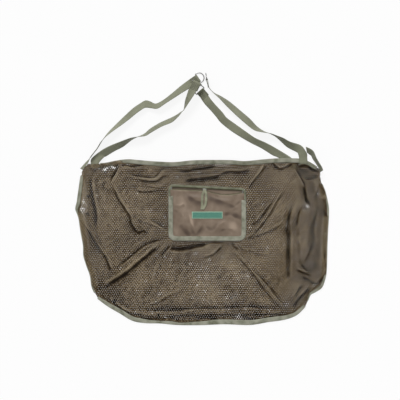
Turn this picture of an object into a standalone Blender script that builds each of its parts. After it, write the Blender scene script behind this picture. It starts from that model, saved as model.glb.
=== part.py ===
"""Weigh sling lying flat: a net bag with a zipped stuff pocket and four webbing legs with D-rings.

Metres, +Z up. The floor is z = 0, the mouth of the bag and the rings lie towards +Y.
The four legs lift together about the mouth line, each ring swings on its straight bar,
and the zip slider runs along the pocket's top edge with a ribbon loop threaded through it.
"""

import math

import bmesh
import bpy
from mathutils import Matrix, Vector

# Driving dimensions of the bag
BAG_WIDTH = 0.7635          # across the widest part of the bag, over the binding
BAG_DEPTH = 0.4965          # mouth line to the bottom edge
HARNESS_RISE = 0.2640       # mouth line to the outermost ring
PANEL_THICKNESS = 0.0008    # knitted net fabric
PANEL_LIFT = 0.0112         # how far the front panel bulges over its seams
MOUTH_CORNER_RISE = 0.0042  # how far the front panel's mouth corners stand over its seams
TAPE_THICKNESS = 0.0008     # grosgrain binding tape
SEAM_TAPE_WIDTH = 0.0150    # folded width on the side seams
BOTTOM_TAPE_WIDTH = 0.0170  # folded width on the bottom seam
MOUTH_TAPE_WIDTH = 0.0140   # folded width on the mouth edges
SEAM_TAPE_START = 0.0430    # from the mouth's corner down to the side seams' tape
SEW_GAP = 0.0005            # clearance between sewn layers
REST_GAP = 0.0003           # clearance between pieces that touch

# Webbing and rings
WEB_WIDTH = 0.0250
WEB_THICKNESS = 0.0015
LOOP_REACH = 0.0120         # from the last free section of a leg to its ring's bar
LOOP_TAIL = 0.0240          # how far the sewn tail runs back under the leg
RING_WIRE = 0.0030
RING_INNER_WIDTH = 0.0270
RING_INNER_DEPTH = 0.0175

# Stuff pocket and zip
POCKET_WIDTH = 0.2325
POCKET_DEPTH = 0.1700       # at its left side
POCKET_TOP_DROP = 0.0120    # the top edge falls by this much towards the right
POCKET_FABRIC = 0.0006
POCKET_CROWN = 0.0045       # how far the pocket front bulges over its edges
POCKET_SHOULDER = 0.0360    # how far the deep top tape runs down the pocket's sides
POCKET_TAPE_WIDTH = 0.0140
TOP_TAPE_WIDTH = 0.0050
ZIP_INSET = 0.0115          # zip's centre line below the pocket's top edge
ZIP_TAPE_WIDTH = 0.0080
ZIP_TAPE_THICKNESS = 0.0006
ZIP_STANDOFF = 0.0020       # air between the pocket's back piece and the zip tapes
ZIP_OPEN_GAP = 0.0085       # how far the lower tape bows away on the open half
TOOTH_PITCH = 0.0040
TOOTH_WIDTH = 0.0022
TOOTH_REACH = 0.0012
TOOTH_SPINE = 0.0008
TOOTH_HEIGHT = 0.0014
SLIDER_LENGTH = 0.0120
SLIDER_WIDTH = 0.0090
SLIDER_PLATE = 0.0010
SLIDER_PILLAR = 0.0012
LUG_BAR = 0.0012
LUG_SPAN = 0.0096
RIBBON_WIDTH = 0.0080
RIBBON_THICKNESS = 0.0006
RIBBON_LENGTH = 0.0600
END_TAB_LENGTH = 0.0060
LABEL_WIDTH = 0.0920
LABEL_HEIGHT = 0.0210
LABEL_THICKNESS = 0.0006
LABEL_BELOW_RIBBON = 0.0110 # from the ribbon's end down to the label

# Shares that place the pocket, the slider and the label
POCKET_LEFT_SHARE = 0.3674      # of the bag's width, from its left side
POCKET_BOTTOM_SHARE = 0.5120    # of the bag's depth, from its bottom
SLIDER_PLACE_SHARE = 0.470      # of the pocket's width
LABEL_PLACE_SHARE = 0.500       # of the pocket's width
HINGE_LINE_SHARE = 0.0275       # of the harness's rise, above the mouth line

# Photograph frame: where the bag's sides, mouth, bottom and highest ring lie, in pixels
LEFT_PX, RIGHT_PX = 75.0, 329.5
MOUTH_PX, BOTTOM_PX, RING_TOP_PX = 160.0, 325.5, 72.1
RINGS_PX = (202.0, 82.0)    # where the rings lie together
WEB_PX = 25 / 3             # width of the webbing where it lies flat

# Outline of the bag, in pixels, as four smooth stretches that meet at the corners
MOUTH_PIXELS = [(88, 163), (97.5, 163), (106, 162.5), (116, 160.5), (128, 159.2), (140, 160.2),
                (158, 161.5), (175, 162), (195, 160.2), (228, 160), (245, 161), (262, 159.5),
                (276, 158.4), (290, 158.2), (300, 158.6), (308, 161), (315, 165), (321, 169.5)]
LEFT_PIXELS = [(88, 163), (84, 166.5), (80.5, 174), (78, 190), (76.3, 202), (75, 209), (78, 218),
               (80, 231), (82.5, 245), (83, 256), (86, 266), (89.5, 276), (91.5, 288), (97, 299)]
BOTTOM_PIXELS = [(97, 299), (108, 307), (120, 314), (132, 321), (145, 323.5), (160, 323.8),
                 (177, 325.3), (200, 325.5), (225, 324.6), (250, 325.3), (268, 322.5),
                 (285, 320), (297, 315.5), (306, 307)]
RIGHT_PIXELS = [(321, 169.5), (321.5, 180), (326, 192), (329, 206), (329.3, 216), (328, 240),
                (327.6, 256), (327, 272), (323.5, 286), (316, 292), (310, 298), (306, 307)]

# Folds of the front panel: two ends in pixels, height and half width as shares of PANEL_LIFT
# and of the bag's width
FOLD_SHARES = [
    ((96, 180), (108, 262), 0.55, 0.022),
    ((168, 242), (106, 285), 0.60, 0.026),
    ((113, 180), (140, 232), 0.45, 0.020),
    ((170, 175), (128, 184), 0.40, 0.020),
    ((258, 170), (242, 192), 0.40, 0.020),
    ((298, 175), (311, 262), 0.55, 0.024),
    ((278, 200), (282, 286), 0.45, 0.022),
    ((236, 248), (292, 306), 0.45, 0.022),
    ((150, 308), (280, 306), 0.40, 0.022),
    ((176, 252), (222, 256), 0.35, 0.022),
]

# Webbing legs, foot first: plan of the two edges in pixels, then each edge's height over the
# floor as a share of the webbing's width
LEG_LOWER_LEFT_PIXELS = [
    ((92.6, 157.4), (103.9, 157.4), 0.398, 0.398),
    ((102, 150.3), (106, 156.2), 0.62, 0.12),
    ((110, 146), (114, 151.3), 0.70, 0.08),
    ((120, 142), (123, 146.6), 0.80, 0.06),
    ((130, 138.5), (131, 140.4), 1.02, 0.06),
    ((136.4, 137.3), (136.6, 137.2), 1.06, 0.06),
    ((145.6, 136.2), (144.2, 133.5), 1.00, 0.06),
    ((152, 132.4), (150, 128.5), 0.90, 0.06),
    ((162, 126.8), (160, 122.5), 0.87, 0.06),
    ((172, 122.6), (170, 118), 0.85, 0.06),
    ((178.4, 117), (176.2, 114.8), 0.98, 0.08),
    ((181.6, 113), (180.4, 112), 1.06, 0.10),
    ((184.4, 110), (183.6, 109.7), 1.16, 0.18),
    ((188.8, 103.5), (185, 101.3), 1.28, 0.46),
    ((192.6, 98), (186.9, 95.2), 1.40, 0.78),
    ((196.2, 92.6), (189, 89.3), 1.36, 1.08),
    ((198.9, 88.7), (191.5, 85), 1.22, 1.22),
]
LEG_UPPER_LEFT_PIXELS = [
    ((90.6, 157.2), (90.8, 157.3), 0.04, 1.03),
    ((94.2, 152.4), (94.4, 152.5), 0.04, 1.04),
    ((97.2, 148.6), (97.4, 148.7), 0.04, 1.04),
    ((100.9, 142.4), (101.1, 142.5), 0.04, 1.04),
    ((104.6, 136.5), (105.6, 137.6), 0.04, 1.02),
    ((110, 130), (112, 132.4), 0.04, 0.97),
    ((120, 120), (122.8, 124.6), 0.04, 0.80),
    ((126, 114.3), (130, 119), 0.04, 0.70),
    ((133, 107.9), (137, 113.2), 0.04, 0.62),
    ((140, 103.2), (143.8, 108.6), 0.04, 0.62),
    ((145.2, 100.3), (147, 107.8), 0.05, 0.46),
    ((150, 101.2), (151.6, 108.4), 0.05, 0.50),
    ((155.6, 103.4), (157.8, 108.8), 0.05, 0.72),
    ((163, 99.9), (166, 103.6), 0.05, 0.84),
    ((172, 93), (175.6, 97.4), 0.06, 0.76),
    ((180, 86.3), (184.2, 91.8), 0.12, 0.62),
    ((187.2, 80.9), (191.8, 87.2), 0.20, 0.44),
    ((192.3, 77.3), (197, 84.2), 0.242, 0.242),
]
LEG_LOWER_RIGHT_PIXELS = [
    ((291.0, 157.4), (277.8, 157.4), 0.178, 0.178),
    ((277, 148.9), (272.5, 155), 0.42, 0.06),
    ((266, 143), (262, 148.4), 0.62, 0.05),
    ((255, 138), (251, 142.8), 0.68, 0.05),
    ((245, 131), (240.5, 136.8), 0.50, 0.05),
    ((235, 123.8), (230.3, 130.2), 0.34, 0.05),
    ((226.6, 117.8), (221, 122.6), 0.52, 0.05),
    ((222.6, 112.6), (216.8, 117.4), 0.50, 0.05),
    ((217, 106.6), (211.4, 111), 0.54, 0.06),
    ((210.6, 99), (204.6, 103.6), 0.40, 0.10),
    ((206.2, 91.6), (200, 97), 0.242, 0.242),
]
LEG_UPPER_RIGHT_PIXELS = [
    ((307.2, 157.4), (298.9, 157.4), 0.398, 0.398),
    ((306.6, 153), (298, 153.8), 0.50, 0.42),
    ((300.8, 145.6), (296.4, 152), 0.66, 0.30),
    ((290, 142), (287.5, 147.2), 0.86, 0.12),
    ((283, 138.3), (281, 141.3), 0.98, 0.06),
    ((276.8, 136), (276, 136.9), 1.04, 0.05),
    ((270.5, 133.8), (270.4, 133.7), 1.05, 0.05),
    ((263, 132.7), (263.6, 130.7), 1.02, 0.05),
    ((254.4, 130.6), (257, 126), 0.80, 0.05),
    ((245.6, 123.9), (250, 118.6), 0.60, 0.05),
    ((235.4, 114.9), (240, 110), 0.60, 0.05),
    ((226, 105.8), (230, 101.7), 0.72, 0.05),
    ((219, 98.6), (221.4, 96.2), 0.96, 0.06),
    ((213.8, 94), (214.8, 93), 1.05, 0.08),
    ((210.2, 89.8), (210.5, 89.6), 1.12, 0.13),
    ((208.6, 86.8), (208.8, 86.8), 1.17, 0.17),
    ((208.1, 83.8), (208.2, 83.8), 1.18, 0.18),
]
CORNER_ARCH_PIXELS = [
    ((309.6, 148.9), (309.2, 154.2), 0.96, 0.24),
    ((313.2, 151.4), (311.6, 155.4), 1.08, 0.22),
    ((316.05, 157.6), (313.65, 157.7), 1.10, 0.14),
]

# Ends of the two anchors and two tails sewn to the bag, as edges in pixels with heights
# as shares of the webbing's width
FRONT_ANCHOR_LEFT_PIXELS = [((92.6, 157.7), (103.9, 157.7), 0.398, 0.398),
                            ((90.6, 162), (98.9, 163.4), 0.398, 0.398),
                            ((92.4, 168.2), (100.6, 168.2), 0.398, 0.398)]
FRONT_ANCHOR_RIGHT_PIXELS = [((307.2, 157.7), (298.9, 157.7), 0.398, 0.398),
                             ((307.6, 163), (299.3, 163), 0.398, 0.398),
                             ((307.8, 167), (299.5, 167), 0.398, 0.398)]
BACK_ANCHOR_RIGHT_PIXELS = [((291.0, 157.7), (277.8, 157.7), 0.178, 0.178),
                            ((296.6, 164), (288.4, 164), 0.178, 0.178),
                            ((297.5, 169), (289.2, 169), 0.178, 0.178)]
BACK_ANCHOR_LEFT_PIXELS = [((89.4, 157.7), (92.0, 157.7), 0.05, 0.385),
                           ((85.6, 162.0), (87.9, 162.9), 0.05, 0.385),
                           ((80.0, 168.4), (82.4, 169.8), 0.05, 0.385)]
CORNER_TAIL_RIGHT_PIXELS = [((316.1, 157.7), (313.7, 157.8), 1.10, 0.14),
                            ((319.2, 162.4), (318.2, 163.2), 1.06, 0.10),
                            ((321.1, 168.6), (321.0, 168.7), 1.04, 0.06),
                            ((321.1, 171.6), (321.0, 171.7), 1.02, 0.06)]

# How finely the smooth forms are divided
PANEL_COLUMNS = 36
PANEL_ROWS = 22
LEG_STEPS = 3               # sections between two stated ones
LOOP_SECTIONS = 8
RING_BOW_SECTIONS = 14
WIRE_SIDES = 8
POCKET_COLUMNS = 16
POCKET_ROWS = 12

BACK_Z = TAPE_THICKNESS + SEW_GAP
SEAM_Z = BACK_Z + PANEL_THICKNESS + SEW_GAP
MOUTH_Y = (BAG_DEPTH - HARNESS_RISE) / 2


def place(px, py):
    """A point of the photograph in the part's own plane."""
    x = ((px - LEFT_PX) / (RIGHT_PX - LEFT_PX) - 0.5) * BAG_WIDTH
    if py > MOUTH_PX:
        return x, MOUTH_Y - (py - MOUTH_PX) / (BOTTOM_PX - MOUTH_PX) * BAG_DEPTH
    return x, MOUTH_Y + (MOUTH_PX - py) / (MOUTH_PX - RING_TOP_PX) * HARNESS_RISE


def place_on_leg(px, py):
    """A point on a leg: it keeps to the mouth at its foot and to the other rings at its end."""
    x, y = place(px, py)
    rings_x, rings_y = place(*RINGS_PX)
    end_share = min(max((MOUTH_PX - py) / (MOUTH_PX - RINGS_PX[1]), 0.0), 1.0)
    near_x = rings_x + (px - RINGS_PX[0]) / WEB_PX * WEB_WIDTH
    near_y = rings_y + (RINGS_PX[1] - py) / WEB_PX * WEB_WIDTH
    return x + (near_x - x) * end_share, y + (near_y - y) * end_share


def smoothstep(value):
    value = min(max(value, 0.0), 1.0)
    return value * value * (3 - 2 * value)


def smooth_line(points, steps):
    """Points on a Catmull-Rom curve through the given ones, steps per stretch."""
    points = [Vector(p) for p in points]
    ends = [2 * points[0] - points[1]] + points + [2 * points[-1] - points[-2]]
    line = []
    for i in range(1, len(ends) - 2):
        a, b, c, d = ends[i - 1:i + 3]
        for step in range(steps):
            t = step / steps
            line.append(0.5 * (2 * b + (c - a) * t + (2 * a - 5 * b + 4 * c - d) * t * t
                               + (3 * b - a - 3 * c + d) * t * t * t))
    return line + [points[-1]]


def even_line(points, count):
    """The same curve with count + 1 points at equal distances."""
    line = smooth_line(points, 12)
    reach = [0.0]
    for a, b in zip(line, line[1:]):
        reach.append(reach[-1] + (b - a).length)
    result, i = [], 0
    for k in range(count + 1):
        want = reach[-1] * k / count
        while i < len(line) - 2 and reach[i + 1] < want:
            i += 1
        share = (want - reach[i]) / (reach[i + 1] - reach[i])
        result.append(line[i].lerp(line[i + 1], share))
    return result


def cut_line(path, start, end):
    """The stretch of a path between two distances along it."""
    reach = [0.0]
    for a, b in zip(path, path[1:]):
        reach.append(reach[-1] + (b - a).length)
    kept = [p for p, r in zip(path, reach) if start + REST_GAP < r < end - REST_GAP]
    ends = []
    for want in (start, end):
        i = max(k for k in range(len(path) - 1) if reach[k] <= want)
        share = (want - reach[i]) / (reach[i + 1] - reach[i])
        ends.append(path[i].lerp(path[i + 1], share))
    return [ends[0]] + kept + [ends[1]]


def normals_of(path, side):
    """Mitred in-plane normals of a path in XY, to its left for side 1."""
    directions = [(b - a).normalized() for a, b in zip(path, path[1:])]
    result = []
    for i in range(len(path)):
        before = directions[max(i - 1, 0)]
        after = directions[min(i, len(directions) - 1)]
        total = Vector((-before.y - after.y, before.x + after.x)) * side
        result.append(total * (2 / total.length_squared))
    return result


def material(name, color, roughness, metallic=0.0):
    made = bpy.data.materials.get(name)
    if made is None:
        made = bpy.data.materials.new(name)
        made.use_nodes = True
        shader = made.node_tree.nodes["Principled BSDF"]
        shader.inputs["Base Color"].default_value = (*color, 1.0)
        shader.inputs["Roughness"].default_value = roughness
        shader.inputs["Metallic"].default_value = metallic
        made.diffuse_color = (*color, 1.0)
    return made


def finish_mesh(name, mesh_maker, surface, pivot=None, smooth=True):
    """Turns a bmesh into a named object whose origin lies on its pivot."""
    pivot = Vector(pivot) if pivot is not None else Vector()
    bm = bmesh.new()
    mesh_maker(bm)
    bmesh.ops.recalc_face_normals(bm, faces=bm.faces)
    bmesh.ops.translate(bm, vec=-pivot, verts=bm.verts)
    mesh = bpy.data.meshes.new(name)
    bm.to_mesh(mesh)
    bm.free()
    if smooth:
        mesh.shade_smooth()
        mesh.set_sharp_from_angle(angle=math.radians(40))
    mesh.materials.append(surface)
    made = bpy.data.objects.new(name, mesh)
    made.location = pivot
    bpy.context.scene.collection.objects.link(made)
    return made


def loft(bm, sections, closed=False):
    """Bridges equal rings of points, capping both ends unless the row closes on itself."""
    rings = [[bm.verts.new(p) for p in section] for section in sections]
    pairs = list(zip(rings, rings[1:])) + ([(rings[-1], rings[0])] if closed else [])
    for one, two in pairs:
        for i in range(len(one)):
            j = (i + 1) % len(one)
            bm.faces.new((one[i], one[j], two[j], two[i]))
    if not closed:
        bm.faces.new(rings[0])
        bm.faces.new(list(reversed(rings[-1])))


def plate(bm, outline, low, high):
    """A flat piece cut to an outline in XY."""
    bottom = [bm.verts.new((p[0], p[1], low)) for p in outline]
    top = [bm.verts.new((p[0], p[1], high)) for p in outline]
    bm.faces.new(list(reversed(bottom)))
    bm.faces.new(top)
    for i in range(len(outline)):
        j = (i + 1) % len(outline)
        bm.faces.new((bottom[i], bottom[j], top[j], top[i]))


def sheet(bm, rows, thickness):
    """A thin closed sheet over a grid of points that lie on its underside."""
    low = [[bm.verts.new(p) for p in row] for row in rows]
    high = [[bm.verts.new(p + Vector((0, 0, thickness))) for p in row] for row in rows]
    last_row, last = len(rows) - 1, len(rows[0]) - 1
    for j in range(last_row):
        for i in range(last):
            bm.faces.new((low[j][i], low[j + 1][i], low[j + 1][i + 1], low[j][i + 1]))
            bm.faces.new((high[j][i], high[j][i + 1], high[j + 1][i + 1], high[j + 1][i]))
    edge = [(0, i) for i in range(last)] + [(j, last) for j in range(last_row)]
    edge += [(last_row, i) for i in range(last, 0, -1)] + [(j, 0) for j in range(last_row, 0, -1)]
    for (j, i), (l, k) in zip(edge, edge[1:] + edge[:1]):
        bm.faces.new((low[j][i], low[l][k], high[l][k], high[j][i]))


def channel(path, inwards, width, heights, opening, thickness):
    """Sections of a tape folded over an edge: path is its outer face in XY, heights its underside."""
    sections = []
    tall = opening + 2 * thickness
    for point, inward, z in zip(path, inwards, heights):
        profile = [(0, 0), (width, 0), (width, thickness), (thickness, thickness),
                   (thickness, tall - thickness), (width, tall - thickness), (width, tall),
                   (0, tall)]
        sections.append([Vector((point.x + inward.x * s, point.y + inward.y * s, z + h))
                         for s, h in profile])
    return sections


def ribbon(edges, thickness):
    """Sections of a flat band from pairs of edge points."""
    centres = [(a + b) / 2 for a, b in edges]
    sections = []
    for i, (a, b) in enumerate(edges):
        along = centres[min(i + 1, len(edges) - 1)] - centres[max(i - 1, 0)]
        face = (b - a).cross(along).normalized() * (thickness / 2)
        sections.append([a + face, b + face, b - face, a - face])
    return sections


def edges_from(pixels, steps):
    """Smooth pairs of edge points from a table of edge pixels and height shares."""
    stated = []
    for (ax, ay), (bx, by), a_share, b_share in pixels:
        stated.append((*place_on_leg(ax, ay), a_share * WEB_WIDTH,
                       *place_on_leg(bx, by), b_share * WEB_WIDTH))
    firsts = smooth_line([s[:3] for s in stated], steps)
    seconds = smooth_line([s[3:] for s in stated], steps)
    return list(zip(firsts, seconds))


# The bag's outline and its folded front panel

def spaced(count, near_low, near_high):
    """Shares from 0 to 1 with one extra step at each end that clears the tape."""
    inner = [near_low + (1 - near_low - near_high) * k / (count - 2) for k in range(count - 1)]
    return [0.0] + inner + [1.0]


def at_share(path, share):
    place_on = share * (len(path) - 1)
    i = min(int(place_on), len(path) - 2)
    return path[i].lerp(path[i + 1], place_on - i)


COLUMN_SHARES = spaced(PANEL_COLUMNS, 0.050, 0.050)
ROW_SHARES = spaced(PANEL_ROWS, 0.085, 0.055)
LOW_SIDE_SHARE, LOW_CORNER_SHARE, RISE_SHARE = 0.050, 0.055, 0.100
CORNER_START_SHARE, CORNER_END_SHARE = 0.905, 0.945


def outline_stretch(pixels, shares):
    line = even_line([place(*p) for p in pixels], 4 * len(shares))
    return [at_share(line, share) for share in shares]


def bag_outline():
    """Mouth and bottom from left to right, sides from the mouth down, at the grid's shares."""
    down = [1 - share for share in reversed(ROW_SHARES)]
    return (outline_stretch(MOUTH_PIXELS, COLUMN_SHARES), outline_stretch(BOTTOM_PIXELS, COLUMN_SHARES),
            outline_stretch(LEFT_PIXELS, down), outline_stretch(RIGHT_PIXELS, down))


def inset(path, side, before, after, distance):
    """The path moved inwards, its ends on the mitre with the neighbouring stretches."""
    whole = [before] + path + [after]
    normals = normals_of(whole, side)[1:-1]
    return [p + n * distance for p, n in zip(path, normals)]


def panel_edges():
    """The cut edges of both panels, inside the fold of the tapes."""
    mouth, bottom, left, right = bag_outline()
    deep = TAPE_THICKNESS + SEW_GAP
    return (inset(mouth, -1, left[1], right[1], deep), inset(bottom, 1, left[-2], right[-2], deep),
            inset(left, 1, mouth[1], bottom[1], deep), inset(right, -1, mouth[-2], bottom[-2], deep))


def pocket_frame():
    """Corner of the pocket's top left, unit vectors along and across its top edge."""
    left = (POCKET_LEFT_SHARE - 0.5) * BAG_WIDTH
    bottom = MOUTH_Y - BAG_DEPTH * (1 - POCKET_BOTTOM_SHARE)
    origin = Vector((left, bottom + POCKET_DEPTH))
    along = Vector((POCKET_WIDTH, -POCKET_TOP_DROP)).normalized()
    return origin, along, Vector((along.y, -along.x))


def over_pocket(x, y):
    """1 under the pocket, falling to 0 a hand's breadth outside it."""
    origin, along, across = pocket_frame()
    margin = POCKET_TAPE_WIDTH
    beyond = max(origin.x - x, x - origin.x - POCKET_WIDTH,
                 y - origin.y, origin.y - POCKET_DEPTH - y) - margin / 2
    return 1 - smoothstep(beyond / (2 * margin))


def fold_height(x, y):
    """Sum of the long rounded folds, none of them under the pocket."""
    total = 0.0
    for start, end, height_share, width_share in FOLD_SHARES:
        a, b = Vector(place(*start)), Vector(place(*end))
        run = b - a
        share = (Vector((x, y)) - a).dot(run) / run.length_squared
        taper = smoothstep(share * 4 + 1) * smoothstep((1 - share) * 4 + 1)
        nearest = a + run * min(max(share, 0.0), 1.0)
        gone = (Vector((x, y)) - nearest).length / (width_share * BAG_WIDTH)
        total = max(total, height_share * PANEL_LIFT * math.exp(-gone * gone) * taper)
    return total


def off_path(point, path):
    """The shortest distance from a point to a path in XY."""
    nearest = []
    for a, b in zip(path, path[1:]):
        run = b - a
        share = min(max((point - a).dot(run) / run.length_squared, 0.0), 1.0)
        nearest.append((point - a - run * share).length)
    return min(nearest)


def panel_height(u, v, x, y, off_seam):
    """Underside of the front panel: low along the seams, bulged inside, with its folds."""
    low = LOW_SIDE_SHARE + LOW_CORNER_SHARE * smoothstep((v - 0.85) / 0.10)
    side = smoothstep((min(u, 1 - u) - low) / RISE_SHARE)
    deep = smoothstep((v - ROW_SHARES[1]) / RISE_SHARE)
    corner = smoothstep((v - CORNER_START_SHARE) / (CORNER_END_SHARE - CORNER_START_SHARE))
    bulge = min(side * deep, smoothstep((off_seam / BOTTOM_TAPE_WIDTH - 1.3) * 0.25))
    folds = fold_height(x, y) * bulge * (1 - over_pocket(x, y)) * (1 - corner)
    return SEAM_Z + PANEL_LIFT * bulge + MOUTH_CORNER_RISE * (1 - side) * corner + folds


def front_panel_rows():
    mouth, bottom, left, right = panel_edges()
    seam = left[:-1] + bottom[:-1] + list(reversed(right))
    rows = []
    for j, v_share in enumerate(ROW_SHARES):
        row = []
        for i, u_share in enumerate(COLUMN_SHARES):
            west, east = left[-1 - j], right[-1 - j]
            plane = bottom[i].lerp(mouth[i], v_share) + west.lerp(east, u_share)
            corners = bottom[0].lerp(bottom[-1], u_share), mouth[0].lerp(mouth[-1], u_share)
            plane -= corners[0].lerp(corners[1], v_share)
            u_level = COLUMN_SHARES[min(max(i, 1), len(COLUMN_SHARES) - 2)]
            v_level = 1.0 if j >= len(ROW_SHARES) - 2 else ROW_SHARES[max(j, 1)]
            z = panel_height(u_level, v_level, plane.x, plane.y, off_path(plane, seam))
            row.append(Vector((plane.x, plane.y, z)))
        rows.append(row)
    return rows


def build_bag():
    net = material("net", (0.118, 0.090, 0.065), 0.85)
    tape = material("binding_tape", (0.24, 0.27, 0.19), 0.85)
    rows = front_panel_rows()
    finish_mesh("front_panel", lambda bm: sheet(bm, rows, PANEL_THICKNESS), net)
    mouth, bottom, left, right = panel_edges()
    loop = mouth[:-1] + right[:-1] + list(reversed(bottom))[:-1] + list(reversed(left))[:-1]
    finish_mesh("back_panel", lambda bm: plate(bm, loop, BACK_Z, BACK_Z + PANEL_THICKNESS), net)
    build_seam_tapes(tape)
    build_mouth_tapes(rows, tape)


def build_seam_tapes(tape):
    """Tapes folded over both panels: left side, bottom and right side."""
    opening = 2 * PANEL_THICKNESS + 3 * SEW_GAP
    mouth, bottom, left, right = bag_outline()
    side_tapes = {"left_seam_binding": (left, 1), "right_seam_binding": (right, -1)}
    for name, (path, side) in side_tapes.items():
        whole = sum((b - a).length for a, b in zip(path, path[1:]))
        trimmed = cut_line(path, SEAM_TAPE_START, whole - BOTTOM_TAPE_WIDTH - SEW_GAP)
        inwards = normals_of(trimmed, side)
        sections = channel(trimmed, inwards, SEAM_TAPE_WIDTH, [0.0] * len(trimmed), opening, TAPE_THICKNESS)
        finish_mesh(name, lambda bm, s=sections: loft(bm, s), tape, smooth=False)
    inwards = normals_of(bottom, 1)
    sections = channel(bottom, inwards, BOTTOM_TAPE_WIDTH, [0.0] * len(bottom), opening, TAPE_THICKNESS)
    finish_mesh("bottom_seam_binding", lambda bm: loft(bm, sections), tape, smooth=False)


def build_mouth_tapes(rows, tape):
    """A tape folded over each panel's mouth edge, level with the panel along it."""
    mouth = bag_outline()[0]
    first, last = 1, len(COLUMN_SHARES) - 2
    stations = mouth[first:last + 1]
    opening = PANEL_THICKNESS + 2 * SEW_GAP
    edge = rows[-1][first:last + 1]
    inwards = [(b - a).to_2d().normalized() for a, b in zip(edge, rows[-2][first:last + 1])]
    over = TAPE_THICKNESS + SEW_GAP
    for name, heights in (("front_mouth_binding", [p.z - over for p in edge]),
                          ("back_mouth_binding", [0.0] * len(edge))):
        sections = channel(stations, inwards, MOUTH_TAPE_WIDTH, heights, opening, TAPE_THICKNESS)
        finish_mesh(name, lambda bm, s=sections: loft(bm, s), tape, smooth=False)


# Webbing legs, anchors and rings

def hinge_line():
    """Where the legs fold up from the mouth: height and distance of the line along X."""
    top = LEG_LOWER_LEFT_PIXELS[0][2] * WEB_WIDTH + WEB_THICKNESS / 2
    return Vector((0, MOUTH_Y + HINGE_LINE_SHARE * HARNESS_RISE, top))


def loop_round_bar(edges):
    """Carries a leg's last section round its ring's bar and back as a sewn tail."""
    first, second = edges[-1]
    before = (edges[-2][0] + edges[-2][1]) / 2
    width = (second - first).normalized()
    along = (first + second) / 2 - before
    along.z = 0
    along = (along - width * along.dot(width)).normalized()
    face = width.cross(along)
    if face.z < 0:
        face = -face
    radius = RING_WIRE / 2 + REST_GAP + WEB_THICKNESS / 2
    bar = (first + second) / 2 + along * LOOP_REACH - face * radius
    turn = [math.pi / 2 - math.pi * k / LOOP_SECTIONS for k in range(LOOP_SECTIONS + 1)]
    places = [(radius * math.cos(a), radius * math.sin(a)) for a in turn]
    sewn = radius - WEB_THICKNESS - REST_GAP
    places += [(-LOOP_REACH / 2, (sewn - radius) / 2), (-LOOP_REACH, sewn), (-LOOP_TAIL, sewn)]
    half = width * (WEB_WIDTH / 2)
    loop = []
    for out, up in places:
        middle = bar + along * out + face * up
        loop.append((middle - half, middle + half))
    return edges + loop, bar, along, face, width


def ring_mesh():
    """A D of round wire: its straight bar along X through the origin, its bow towards Y."""
    half = (RING_INNER_WIDTH + RING_WIRE) / 2
    deep = RING_INNER_DEPTH + RING_WIRE
    shoulder = deep - half - RING_WIRE / 2
    path = [Vector((-half, 0)), Vector((half, 0))]
    for k in range(RING_BOW_SECTIONS + 1):
        a = math.pi * k / RING_BOW_SECTIONS
        path.append(Vector((half * math.cos(a), shoulder + half * math.sin(a))))
    whole = [path[-1]] + path + [path[0]]
    normals = normals_of(whole, 1)[1:-1]
    sections = []
    for point, inward in zip(path, normals):
        section = []
        for k in range(WIRE_SIDES):
            a = 2 * math.pi * (k + 0.5) / WIRE_SIDES
            flat = point + inward * (math.cos(a) * RING_WIRE / 2)
            section.append(Vector((flat.x, flat.y, math.sin(a) * RING_WIRE / 2)))
        sections.append(section)
    bm = bmesh.new()
    loft(bm, sections, closed=True)
    bmesh.ops.recalc_face_normals(bm, faces=bm.faces)
    mesh = bpy.data.meshes.new("d_ring")
    bm.to_mesh(mesh)
    bm.free()
    mesh.shade_smooth()
    return mesh


def build_legs():
    web = material("webbing", (0.19, 0.20, 0.15), 0.8)
    chrome = material("ring_wire", (0.72, 0.72, 0.74), 0.22, 1.0)
    ring = ring_mesh()
    ring.materials.append(chrome)
    line = hinge_line()
    legs = [("leg_lower_left", LEG_LOWER_LEFT_PIXELS, "ring_lower_left", True),
            ("leg_upper_left", LEG_UPPER_LEFT_PIXELS, "ring_upper_left", False),
            ("leg_lower_right", LEG_LOWER_RIGHT_PIXELS, "ring_lower_right", False),
            ("leg_upper_right", LEG_UPPER_RIGHT_PIXELS, "ring_upper_right", False)]
    for name, pixels, ring_name, hangs in legs:
        edges, bar, along, face, width = loop_round_bar(edges_from(pixels, LEG_STEPS))
        sections = ribbon(edges, WEB_THICKNESS)
        finish_mesh(name, lambda bm, s=sections: loft(bm, s), web, pivot=line)
        out, up = (-face, along) if hangs else (along, face)
        placed = bpy.data.objects.new(ring_name, ring)
        turned = Matrix((width, out, width.cross(out))).transposed()
        placed.matrix_world = Matrix.Translation(bar) @ turned.to_4x4()
        bpy.context.scene.collection.objects.link(placed)
        print("ring", ring_name, "bar", tuple(round(c, 5) for c in bar),
              "axis", tuple(round(c, 5) for c in width), "out", tuple(round(c, 5) for c in out))
    tails = {"corner_arch": CORNER_ARCH_PIXELS,
             "front_anchor_left": FRONT_ANCHOR_LEFT_PIXELS,
             "front_anchor_right": FRONT_ANCHOR_RIGHT_PIXELS,
             "back_anchor_left": BACK_ANCHOR_LEFT_PIXELS,
             "back_anchor_right": BACK_ANCHOR_RIGHT_PIXELS,
             "corner_tail": CORNER_TAIL_RIGHT_PIXELS}
    for name, pixels in tails.items():
        sections = ribbon(edges_from(pixels, LEG_STEPS), WEB_THICKNESS)
        finish_mesh(name, lambda bm, s=sections: loft(bm, s), web)
    print("hinge line", tuple(round(c, 5) for c in line))


# Stuff pocket

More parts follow.
